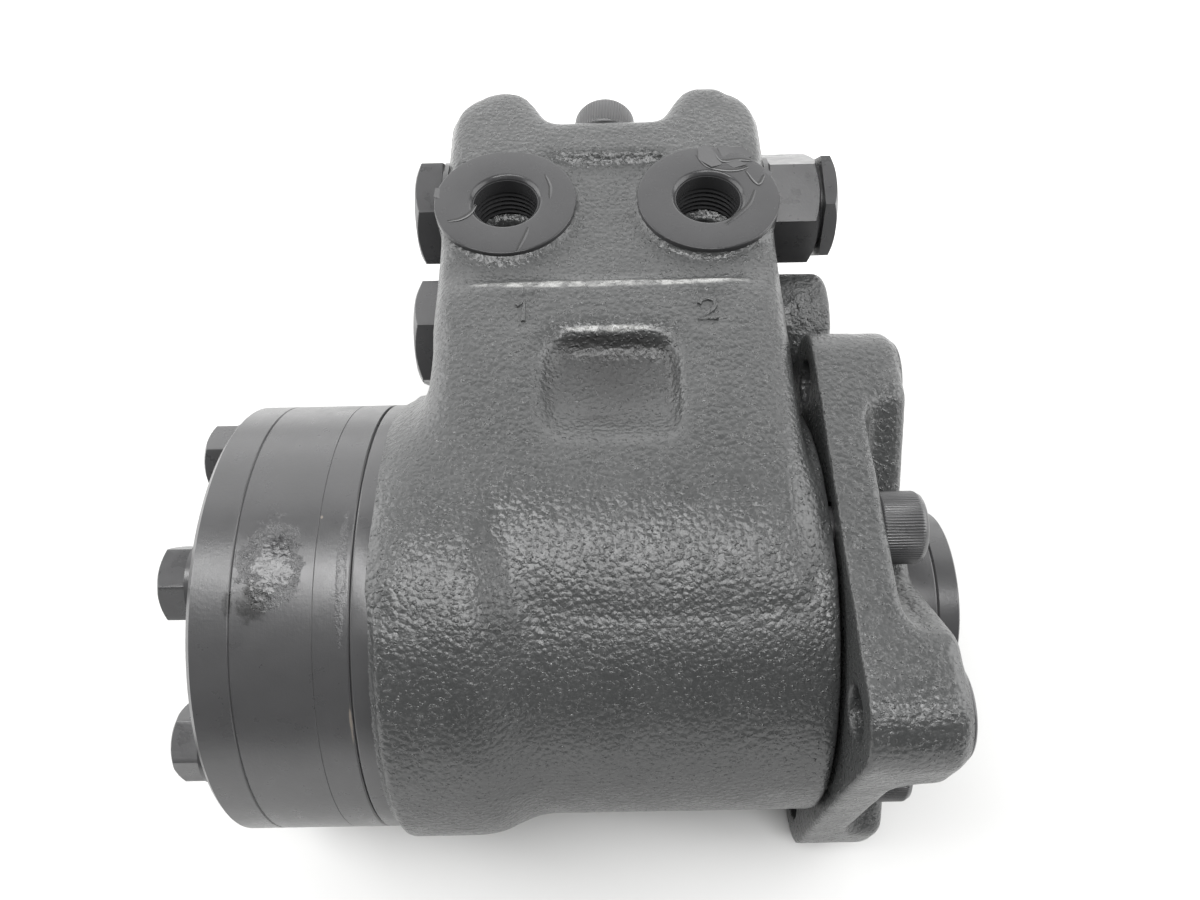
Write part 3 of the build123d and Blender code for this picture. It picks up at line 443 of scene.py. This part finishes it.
def plain_paint(name, low, high, rough, grain=1500, distance=0.00002, specular=0.5):
    """Paint between two dark greys, with a fine grain of its own."""
    paint = Shader(name, Specular_IOR_Level=specular)
    paint.colour(paint.mix(paint.noise(120, 3, 0.6), low, high))
    paint.roughness(paint.span(paint.noise(300, 3, 0.6), 0.3, 0.7, rough - 0.05, rough + 0.06))
    paint.bump(paint.noise(grain, 3, 0.6), distance)
    return paint.material


def steel(name, low, high, rough):
    """Bare steel with fine grinding lines round the input axis."""
    metal = Shader(name, metallic=1.0)
    metal.colour(metal.mix(metal.noise(160, 4, 0.6), low, high))
    metal.roughness(metal.span(metal.noise(500, 3, 0.6), 0.3, 0.7, rough - 0.06, rough + 0.08))
    metal.bump(metal.noise(1.0, 3, 0.6, metal.stretched((2400, 90, 90))), 0.000006)
    return metal.material


def rubber():
    """Dull black seal rubber."""
    skin = Shader("nitrile_rubber", roughness=0.6)
    skin.colour(skin.mix(skin.noise(200, 4, 0.6), (0.012, 0.012, 0.012), (0.024, 0.024, 0.024)))
    skin.roughness(skin.span(skin.noise(700, 3, 0.6), 0.3, 0.7, 0.5, 0.7))
    skin.bump(skin.noise(2600, 2, 0.5), 0.00002)
    return skin.material


# ---------------------------------------------------------------- mesh helpers

def add_object(name, mesh, material, replaced=()):
    """Piece that rides on the root body, in place of any nodes named."""
    piece = bpy.data.objects.new(name, mesh)
    bpy.context.scene.collection.objects.link(piece)
    mesh.materials.clear()
    mesh.materials.append(material)
    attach(piece, "root")
    if replaced:
        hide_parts(*replaced)


def mesh_from(name, points, faces, sharp):
    """Mesh from points in millimetres, faces turned outwards, smooth up to an angle in degrees."""
    mesh = bpy.data.meshes.new(name)
    mesh.from_pydata([tuple(float(v) * MM for v in p) for p in points], [], faces)
    work = bmesh.new()
    work.from_mesh(mesh)
    bmesh.ops.remove_doubles(work, verts=work.verts, dist=1e-7)
    bmesh.ops.recalc_face_normals(work, faces=work.faces)
    work.to_mesh(mesh)
    work.free()
    mesh.polygons.foreach_set("use_smooth", [True] * len(mesh.polygons))
    mesh.set_sharp_from_angle(angle=math.radians(sharp))
    return mesh


def mesh_of(holder):
    """Mesh that an object's modifier or curve makes; the object itself is removed."""
    bpy.context.scene.collection.objects.link(holder)
    bpy.context.view_layer.update()
    shown = holder.evaluated_get(bpy.context.evaluated_depsgraph_get())
    mesh = bpy.data.meshes.new_from_object(shown)
    bpy.data.objects.remove(holder)
    return mesh


def along(axis, origin):
    """Function that puts a local point on an axis; local z runs along it."""
    z = Vector(axis).normalized()
    x = z.orthogonal().normalized() if abs(z.x) < 0.9 else Vector((0, 1, 0))
    y = z.cross(x)
    start = Vector(origin)
    return lambda p: start + x * p[0] + y * p[1] + z * p[2]


def ring_mesh(rings, place, looped=False):
    """Points and faces of a stack of rings with equal counts; its ends are capped or joined."""
    points, faces = [], []
    count = len(rings[0])
    for ring in rings:
        points.extend(place(p) for p in ring)
    pairs = len(rings) if looped else len(rings) - 1
    for k in range(pairs):
        low, high = k * count, (k + 1) % len(rings) * count
        for i in range(count):
            j = (i + 1) % count
            faces.append((low + i, low + j, high + j, high + i))
    if not looped:
        for k, ring in ((0, rings[0]), (len(rings) - 1, rings[-1])):
            points.append(place(np.mean(ring, axis=0)))
            hub = len(points) - 1
            for i in range(count):
                faces.append((k * count + i, k * count + (i + 1) % count, hub))
    return points, faces


def spread(count):
    """Angles of points spread evenly round a circle."""
    return np.arange(count) * TURN / count


def ring_at(radius, angles, height):
    """Ring of points at the given angles; the radius is one number or one for each angle."""
    heights = np.full(len(angles), float(height))
    return np.stack([radius * np.cos(angles), radius * np.sin(angles), heights], 1)


def circle(radius, height, count):
    """Round ring of evenly spread points."""
    return ring_at(radius, spread(count), height)


def softened(profile, round_by, steps=3):
    """Profile of (radius, height) whose corners are rounded."""
    made = []
    count = len(profile)
    for k in range(count):
        here = np.array(profile[k], float)
        before = np.array(profile[k - 1], float) - here
        after = np.array(profile[(k + 1) % count], float) - here
        lengths = np.linalg.norm(before), np.linalg.norm(after)
        near = min(round_by, min(lengths) / 2.5)
        start = here + before / lengths[0] * near
        end = here + after / lengths[1] * near
        for step in range(steps + 1):
            t = step / steps
            made.append((1 - t) ** 2 * start + 2 * t * (1 - t) * here + t * t * end)
    return made


def turned_ring(name, profile, axis, origin, material, count, round_by):
    """Closed ring on the casting, turned from a loop of (radius, height) points."""
    rings = [circle(radius, height, count) for radius, height in softened(profile, round_by)]
    points, faces = ring_mesh(rings, along(axis, origin), looped=True)
    add_object(name, mesh_from(name, points, faces, SMOOTH_UP_TO), material)


def hex_radius(turn, flats, round_corner):
    """Radius of a hexagon with eased corners at an angle."""
    half = flats / 2
    fold = (turn + TURN / 12) % (TURN / 6) - TURN / 12
    flat = half / np.cos(fold)
    corner = half / math.cos(TURN / 12)
    limit = corner - round_corner
    return np.where(flat > limit, limit + (flat - limit) * 0.35, flat)


def hex_rings(flats, length, angles, turn, inset):
    """Rings of a hexagon head from its seat to its chamfered top."""
    wall = hex_radius(angles + turn, flats, 0.08)
    corner = flats / 2 / math.cos(TURN / 12)
    slope = math.tan(math.radians(HEX_CHAMFER))
    rise = inset * slope
    rings = [ring_at(wall - 0.2, angles, 0.0), ring_at(wall, angles, 0.25)]
    for climb in np.linspace(0, rise, 9):
        radius = np.minimum(wall, corner - climb / slope)
        rings.append(ring_at(radius, angles, length - rise + climb))
    rings.append(ring_at(corner - inset - 0.35, angles, length))
    return rings


def joined(name, parts, material, replaced=(), sharp=SMOOTH_UP_TO):
    """One piece made of several (points, faces) parts."""
    points, faces = [], []
    for some_points, some_faces in parts:
        start = len(points)
        points.extend(some_points)
        faces.extend(tuple(start + index for index in face) for face in some_faces)
    add_object(name, mesh_from(name, points, faces, sharp), material, replaced)


# ---------------------------------------------------------------- fasteners

def hex_screw(origin, axis, flats, length, corner, inset, shank, reach):
    """Hexagon head that stands on its seat, with its shank behind; one corner's angle is given."""
    turn = math.radians(30 - corner * axis[0])
    angles = spread(144) + TURN / 12 - turn
    rings = [ring_at(shank, angles, height) for height in (-reach, -SEAT_GAP)]
    rings += hex_rings(flats, length, angles, turn, inset)
    return ring_mesh(rings, along(axis, origin))


def socket_screw(origin, axis, radius, height, teeth, socket, socket_depth, shank, reach):
    """Socket-head screw whose head has a straight knurl."""
    count = teeth * 6
    angles = spread(count)
    wave = 0.5 + 0.5 * np.cos(angles * teeth)
    knurl = radius - 0.20 * (1 - wave) ** 1.5
    plain = radius - 0.55
    hexagon = hex_radius(angles, socket, 0.1)
    rings = [
        circle(shank, -reach, count),
        circle(shank, -SEAT_GAP, count),
        circle(plain - 0.2, 0.0, count),
        circle(plain, 0.15, count),
        ring_at(np.minimum(knurl, radius - 0.2), angles, 0.6),
        ring_at(knurl, angles, 0.95),
        ring_at(knurl, angles, height - 1.7),
        ring_at(np.minimum(knurl, radius - 0.12), angles, height - 1.25),
        circle(plain + 0.2, height - 0.95, count),
        circle(plain - 0.1, height - 0.35, count),
        circle(plain - 0.5, height - 0.08, count),
        circle(plain - 0.95, height, count),
        ring_at(hexagon + 0.55, angles, height),
        ring_at(hexagon + 0.2, angles, height - 0.15),
        ring_at(hexagon, angles, height - 0.5),
        ring_at(hexagon, angles, height - socket_depth),
        circle(socket * 0.42, height - socket_depth - 0.1, count),
        circle(socket * 0.2, height - socket_depth - 0.9, count),
    ]
    return ring_mesh(rings, along(axis, origin))


def on_axis_ring(station, angle):
    """Place on the ring of screws round the input axis, at an angle from +Y towards +Z."""
    return station, SCREW_RING * math.cos(angle), SCREW_RING * math.sin(angle)


def fasteners(material):
    """Cover screws, bore plugs, flange screws and the gallery plug, in place of their nodes."""
    heads = []
    for index in range(COVER_SCREWS):
        angle = math.radians(COVER_SCREW_START) + TURN * index / COVER_SCREWS
        heads.append(hex_screw(
            on_axis_ring(COVER_SEAT, angle), (-1, 0, 0), flats=15.0, length=6.6,
            corner=COVER_SCREW_TURN * index % 60, inset=2.0, shank=5.0, reach=51.5,
        ))
    joined("cover_screw_heads", heads, material, ["end_cover_screws"], CRISP_ABOVE)

    for name, node, (y, z), corner in (
        ("upper_plug_hex", "upper_bore_plug", RELIEF, 12.0),
        ("lower_plug_hex", "lower_bore_plug", PRIORITY, -1.8),
    ):
        plug = hex_screw(
            (HEAD_LEFT - PLUG_WASHER, y, z), (-1, 0, 0), flats=27.0, length=7.6,
            corner=corner, inset=2.8, shank=9.0, reach=12.4,
        )
        joined(name, [plug], material, [node], CRISP_ABOVE)

    screws = [
        socket_screw(
            on_axis_ring(VALLEY_FLOOR, TURN * index / 4), (1, 0, 0), radius=8.0, height=10.0, teeth=76,
            socket=8.0, socket_depth=5.0, shank=5.0, reach=21.5,
        )
        for index in range(4)
    ]
    joined("knurled_flange_screws", screws, material, ["flange_screws"])

    plug = socket_screw(
        (HEAD_X, NOTCH_Y, GALLERY_HEIGHT), (0, 1, 0), radius=8.5, height=9.7, teeth=64,
        socket=10.0, socket_depth=6.0, shank=6.0, reach=6.0,
    )
    joined("knurled_gallery_plug", [plug], material, ["gallery_plug"])


# ---------------------------------------------------------------- castings

def remeshed(node, voxel):
    """Mesh of a CAD solid made of even squares."""
    mesh = nodes[node].data.copy()
    work = bmesh.new()
    work.from_mesh(mesh)
    bmesh.ops.remove_doubles(work, verts=work.verts, dist=1e-7)
    work.to_mesh(mesh)
    work.free()
    holder = bpy.data.objects.new("work", mesh)
    modifier = holder.modifiers.new("even", "REMESH")
    modifier.mode = "VOXEL"
    modifier.voxel_size = voxel * MM
    modifier.adaptivity = 0.0
    result = mesh_of(holder)
    bpy.data.meshes.remove(mesh)
    return result


def coordinates(mesh):
    """Points of a mesh in millimetres."""
    flat = np.zeros(len(mesh.vertices) * 3, np.float32)
    mesh.vertices.foreach_get("co", flat)
    return flat.reshape(-1, 3).astype(float) / MM


def normals(mesh):
    """Outward directions at a mesh's points."""
    flat = np.zeros(len(mesh.vertices) * 3, np.float32)
    mesh.vertex_normals.foreach_get("vector", flat)
    return flat.reshape(-1, 3).astype(float)


def store(mesh, points):
    """Put points in millimetres back into their mesh."""
    mesh.vertices.foreach_set("co", (points * MM).astype(np.float32).ravel())
    mesh.update()


def neighbours(points, edges):
    """Mean of each point's neighbours."""
    a, b = edges[:, 0], edges[:, 1]
    count = len(points)
    degree = np.bincount(edges.ravel(), minlength=count).astype(float)[:, None]
    total = np.zeros_like(points)
    for k in range(3):
        total[:, k] = np.bincount(a, points[b, k], count) + np.bincount(b, points[a, k], count)
    return total / degree


def relaxed(points, edges, rounds):
    """Points moved towards their neighbours, then back, so that volume is kept."""
    for _ in range(rounds):
        for pull in (0.5, -0.51):
            points = points + (neighbours(points, edges) - points) * pull
    return points


def averaged(points, edges, rounds):
    """Points moved towards their neighbours, which rounds edges off."""
    for _ in range(rounds):
        points = points * 0.4 + neighbours(points, edges) * 0.6
    return points


def lumps(points, size, seed):
    """Smooth noise from -1 to 1 with lumps of about a given size in millimetres."""
    offset = Vector((seed * 17.3, seed * 5.1, seed * 29.7))
    return np.array([noise.noise(Vector(p) / size + offset) for p in points])


def casting(name, node, voxel, material, form, ease, fit):
    """Sand-cast skin over a CAD solid: eased corners, slight lumps, and a little inside it."""
    mesh = remeshed(node, voxel)
    flat = np.zeros(len(mesh.edges) * 2, np.int32)
    mesh.edges.foreach_get("vertices", flat)
    edges = flat.reshape(-1, 2)
    points = form(relaxed(coordinates(mesh), edges, 3))
    for weight, rounds in ease(points):
        points = points + (averaged(points, edges, rounds) - points) * weight[:, None]
    store(mesh, points)
    inset = 0.22 + 0.09 * lumps(points, 7.0, 1) + 0.04 * lumps(points, 2.6, 2)
    store(mesh, fit(points - normals(mesh) * inset[:, None]))
    mesh.polygons.foreach_set("use_smooth", [True] * len(mesh.polygons))
    mesh.name = name
    add_object(name, mesh, material, [node])


def as_it_is(points):
    """No change, for a casting that needs none."""
    return points


def above(value, start, soft):
    """0 below a value, rising evenly to 1 over a distance."""
    return np.clip((value - start) / soft, 0, 1)


def eased(share):
    """A share from 0 to 1 with a level start and end."""
    return share * share * (3 - 2 * share)


def bell(value, centre, half, soft):
    """1 inside a range, falling smoothly to 0 outside it."""
    return eased(np.clip((half + soft - np.abs(value - centre)) / soft, 0, 1))


def ease_housing(points):
    """Zones of the housing and their rounds: band, pocket, long edges, rim's waist, rim's saddle."""
    x, y, z = points.T
    off_ports = np.ones(len(points))
    for port in PORT_X:
        off_ports *= above(np.hypot(x - port, y - PORT_Y), PORT_FACE_RADIUS + 0.5, 1.5)
    band = np.maximum(bell(y, BAND_ENDS[0], 2.0, 2.5), bell(y, BAND_ENDS[1], 2.0, 2.5))
    pocket = bell(x, HEAD_X, 17.0, 4.0) * bell(y, POCKET_Y - 1.5, 19.0, 4.0) * above(z, 43, 2)
    sides = np.maximum(bell(x, HEAD_LEFT, 8.0, 4.0), bell(x, HEAD_RIGHT, 8.0, 4.0))
    waist = bell(x, -90.0, 9.0, 5.0) * above(np.hypot(y, z), 46, 3)
    saddle = bell(x, HEAD_LEFT, 8.0, 6.0) * bell(y, 20.0, 24.0, 8.0) * above(z, 30, 4)
    return [
        (band * above(z, 46, 2) * off_ports, 6),
        (pocket, 26),
        (sides * above(z, 48.2, 1.5) * off_ports, 40),
        (waist, 12),
        (saddle, 40),
    ]


def fill_pocket(points):
    """The pocket's floor rises to the head's face at its near end."""
    x, y, z = points.T
    inside = bell(x, HEAD_X, 15.6, 0.8) * (z > 46) * (y > 12) * (y < 32)
    rise = eased(np.clip((28.0 - y) / 14.0, 0, 1)) * inside
    points[:, 2] = z + np.clip(HEAD_TOP - 0.1 - z, 0, 9) * rise
    return points


def ease_flange(points):
    """The cast side of the flange, off its machined faces."""
    x = points[:, 0]
    return [(above(x, -19.5, 2) * above(-x, 0, 2), 4)]


def opened(points, place, radius, to, span):
    """Open an upright round bore to a wider radius between two heights."""
    offset = points[:, :2] - np.array(place)
    distance = np.linalg.norm(offset, axis=1)
    height = points[:, 2]
    inside = (distance < to) & (distance > radius) & (height > span[0]) & (height < span[1])
    scale = np.ones(len(points))
    scale[inside] = to / distance[inside]
    points[:, :2] = np.array(place) + offset * scale[:, None]
    return points


def fit_housing(points):
    """Room for the threaded mouths of the four ports, and a shallow field about each numeral."""
    x, y, z = points.T
    for across, up in NUMERALS:
        points[:, 2] = z - 0.35 * bell(x, across, 2.8, 2.5) * bell(y, up, 4.0, 2.5) * (z > 50)
    for port in PORT_X:
        for span in ((PORT_TOP - PORT_SLEEVE, 60), (-60, PORT_SLEEVE - PORT_TOP)):
            points = opened(points, (port, PORT_Y), 7.4, 10.0, span)
    return points


# ---------------------------------------------------------------- machined faces

def port_face(name, x, sign, material):
    """Sealing face of a port with its threaded mouth; the sign is that of the side it opens to."""
    axis, origin = (0, 0, sign), (x, PORT_Y, sign * PORT_TOP)
    profile = [
        (PORT_FACE_RADIUS, -3.2), (PORT_FACE_RADIUS, -0.02), (9.35, -0.02), (8.5, -0.9),
        (8.5, -1.4), (8.9, -1.9), (8.9, -3.2),
    ]
    turned_ring(name, profile, axis, origin, material, 200, 0.4)
    pitch, count = 1.5, 120
    angles = spread(count)
    rings = []
    for height in np.arange(-14.0, -1.19, pitch / 8):
        phase = (height / pitch - sign * angles / TURN) % 1.0
        tooth = np.abs(phase * 2 - 1)
        lead = min(1.0, max(0.0, (-4.5 - height) / 4.0))
        depth = np.clip(tooth * 1.35 - 0.15, 0, 1) * 0.42 * lead
        rings.append(ring_at(PORT_RADIUS + 0.02 + depth, angles, height))
    for radius, height in ((9.1, -1.2), (9.6, -1.6), (9.6, -14.0)):
        rings.append(circle(radius, height, count))
    points, faces = ring_mesh(rings, along(axis, origin), looped=True)
    mesh = mesh_from(name + "_thread", points, faces, 30)
    add_object(name + "_thread", mesh, material)


def machined_faces(material, port_material):
    """Turned register at the gear end, port faces, lug pads, and the spigot of the flange."""
    register = [
        (47.0, 0.0), (GEAR_RADIUS - 0.5, 0.0), (GEAR_RADIUS, 0.5), (GEAR_RADIUS, 5.1), (47.0, 5.1),
    ]
    turned_ring("register", register, (1, 0, 0), (HOUSING_FACE, 0, 0), material, 256, 0.2)
    for index, x in enumerate(PORT_X, start=1):
        port_face(f"work_port_face_{index}", x, 1, port_material)
        port_face(f"supply_port_face_{index}", x, -1, port_material)
    pad = [(5.3, -1.6), (5.3, -0.4), (5.7, 0.0), (9.1, 0.0), (9.5, -0.4), (9.5, -1.6)]
    for index, (sy, sz) in enumerate(((1, 1), (-1, 1), (-1, -1), (1, -1)), start=1):
        origin = (0, sy * LUG_PLACE, sz * LUG_PLACE)
        turned_ring(f"lug_pad_{index}", pad, (1, 0, 0), origin, material, 96, 0.15)
    spigot = [
        (17.3, 0.3), (17.3, 7.45), (21.7, 7.45), (22.0, 7.1), (22.0, -1.0), (21.0, -2.5), (18.0, -2.5),
    ]
    turned_ring("spigot", spigot, (1, 0, 0), (0, 0, 0), material, 200, 0.15)


# ---------------------------------------------------------------- paint film and numerals

def ribbon(points, width, low, high, steps=8):
    """Curved strip of paint whose right-hand edge stands up; its ends taper."""
    knots = [Vector(p).to_3d() for p in points]
    line = []
    for k in range(len(knots) - 1):
        before = knots[max(k - 1, 0)]
        after = knots[min(k + 2, len(knots) - 1)]
        for step in range(steps):
            t = step / steps
            bend = (knots[k] - before) * (t * (1 - t) ** 2)
            bend -= (after - knots[k + 1]) * (t * t * (1 - t))
            line.append(knots[k].lerp(knots[k + 1], t) + bend * 0.5)
    line.append(knots[-1])
    rings = []
    count = len(line)
    for k, spot in enumerate(line):
        ahead = (line[min(k + 1, count - 1)] - line[max(k - 1, 0)]).normalized()
        side = Vector((-ahead.y, ahead.x, 0))
        full = math.sin(math.pi * (k + 0.6) / (count + 0.2)) ** 0.6
        half = side * width / 2 * full
        rise = low + (high - low) * full
        left, right = spot + half, spot - half
        rings.append([
            (left.x, left.y, low), (right.x, right.y, rise),
            (right.x, right.y, rise - 0.05), (left.x, left.y, low - 0.05),
        ])
    return ring_mesh(rings, Vector)


def flap(outline, base, lifts):
    """Torn piece of the paint film: a thin sheet whose corners stand at given heights."""
    count = len(outline)
    middle = np.mean(outline, axis=0)
    points, faces = [], []
    for drop in (0.0, 0.06):
        for (x, y), lift in zip(outline, lifts):
            points.append((x, y, base + lift - drop))
        points.append((middle[0], middle[1], base + float(np.mean(lifts)) * 0.7 - drop))
    hub = count
    for i in range(count):
        j = (i + 1) % count
        faces.append((i, j, hub))
        faces.append((j + count + 1, i + count + 1, hub + count + 1))
        faces.append((i, j, j + count + 1, i + count + 1))
    return points, faces


def torn_paint():
    """Cracked and lifted paint film on and around the two work port faces."""
    face = PORT_TOP + 0.03
    film = plain_paint(
        "paint_film", (0.030, 0.030, 0.031), (0.046, 0.046, 0.047), 0.2, grain=700, distance=0.00006,
    )
    bare = plain_paint("crack", (0.004, 0.004, 0.004), (0.010, 0.010, 0.010), 0.6)
    cracks = [
        [(-108.2, 81.9), (-105.0, 82.6), (-102.6, 84.6), (-101.3, 87.4)],
        [(-87.7, 79.2), (-88.6, 75.8), (-90.4, 71.3)],
        [(-83.8, 97.8), (-82.4, 93.6), (-82.5, 89.2)],
        [(-31.6, 97.6), (-29.0, 92.8), (-26.9, 96.0)],
        [(-29.8, 90.8), (-31.6, 86.0), (-34.6, 82.4), (-38.3, 78.9)],
        [(-44.0, 103.6), (-41.8, 99.8), (-38.0, 98.2), (-34.0, 98.0), (-30.8, 99.2)],
        [(-39.4, 105.0), (-37.6, 101.6), (-33.0, 101.9), (-29.6, 101.4)],
    ]
    strips = [ribbon(line, 0.8, face, face + 0.02) for line in cracks]
    joined("paint_cracks", strips, bare)
    lips = [[(x + 0.35, y - 0.45) for x, y in line] for line in cracks]
    strips = [ribbon(line, 0.6, face, face + 0.14) for line in lips]
    joined("crack_lips", strips, film)
    flaps = [
        flap(
            [
                (-43.4, 106.2), (-40.6, 107.4), (-38.4, 103.4),
                (-37.4, 100.0), (-40.2, 98.9), (-43.4, 102.0),
            ],
            face, [0.24, 0.22, 0.0, 0.0, 0.24, 0.05],
        ),
        flap(
            [(-38.2, 106.4), (-31.4, 106.2), (-28.8, 103.0), (-33.6, 101.8), (-37.0, 102.6)],
            face - 0.25, [0.35, 0.5, 0.1, 0.0, 0.2],
        ),
        flap(
            [(-37.0, 101.0), (-33.4, 101.6), (-31.0, 99.6), (-34.4, 98.6)],
            face, [0.0, 0.24, 0.24, 0.0],
        ),
        flap(
            [(-112.0, 93.6), (-109.6, 92.8), (-110.2, 89.6), (-112.2, 90.2)],
            face - 0.1, [0.1, 0.0, 0.0, 0.25],
        ),
        flap(
            [(-26.3, 98.6), (-24.6, 96.4), (-25.6, 94.4), (-27.3, 96.6)],
            face - 0.1, [0.25, 0.1, 0.0, 0.0],
        ),
    ]
    joined("paint_flaps", flaps, film, sharp=25)


def numerals(material):
    """Raised cast numerals beside the work ports."""
    one = [(-1.6, 1.6), (0.2, 3.1), (0.2, -3.1)]
    two = [
        (-2.0, 1.5), (-1.3, 2.8), (0.2, 3.2), (1.7, 2.6),
        (1.9, 1.1), (0.9, -0.4), (-2.1, -2.9), (2.2, -2.9),
    ]
    for name, strokes, centre in (("numeral_1", one, NUMERALS[0]), ("numeral_2", two, NUMERALS[1])):
        curve = bpy.data.curves.new(name, "CURVE")
        curve.dimensions = "3D"
        curve.bevel_depth = 0.6 * MM
        curve.bevel_resolution = 3
        curve.use_fill_caps = True
        line = curve.splines.new("POLY")
        line.points.add(len(strokes) - 1)
        for spot, (x, y) in zip(line.points, strokes):
            spot.co = ((centre[0] + x) * MM, (centre[1] + y) * MM, (HEAD_TOP - 0.56) * MM, 1)
        mesh = mesh_of(bpy.data.objects.new(name + "_line", curve))
        mesh.polygons.foreach_set("use_smooth", [True] * len(mesh.polygons))
        add_object(name, mesh, material)


# ---------------------------------------------------------------- build

bpy.context.scene.view_settings.view_transform = "Standard"
camera()
white_floor()
studio_light()

cast = cast_paint()
machined = machined_paint()
satin = plain_paint("fastener_paint", (0.030, 0.030, 0.031), (0.044, 0.044, 0.045), 0.30)
ground = steel("ground_steel", (0.42, 0.42, 0.43), (0.56, 0.56, 0.56), 0.26)
spring = steel("spring_steel", (0.24, 0.25, 0.28), (0.36, 0.36, 0.38), 0.32)
seal = rubber()

marked = machined_paint("gear_end_paint", marked=True)
finish = {
    "cast_black": cast,
    "machined_black": machined,
    "fastener_black": satin,
    "ground_steel": ground,
    "spring_steel": spring,
    "seal_rubber": seal,
}
slots = {part["node"]: part["material_slot"] for part in frame["record"]["subparts"]}
for node_name, node_object in nodes.items():
    node_object.data.materials.clear()
    gear_end = node_name in ("distributor_plate", "gear_ring", "end_cover")
    node_object.data.materials.append(marked if gear_end else finish[slots[node_name]])

fasteners(satin)
housing_paint = cast_paint("housing_paint", housing=True)
casting("housing_casting", "housing", 1.0, housing_paint, fill_pocket, ease_housing, fit_housing)
casting("flange_casting", "mounting_flange", 0.9, cast, as_it_is, ease_flange, as_it_is)
port_paint = plain_paint("port_paint", (0.026, 0.026, 0.027), (0.036, 0.036, 0.037), 0.24, specular=0.3)
machined_faces(machined, port_paint)
torn_paint()
numerals(cast)
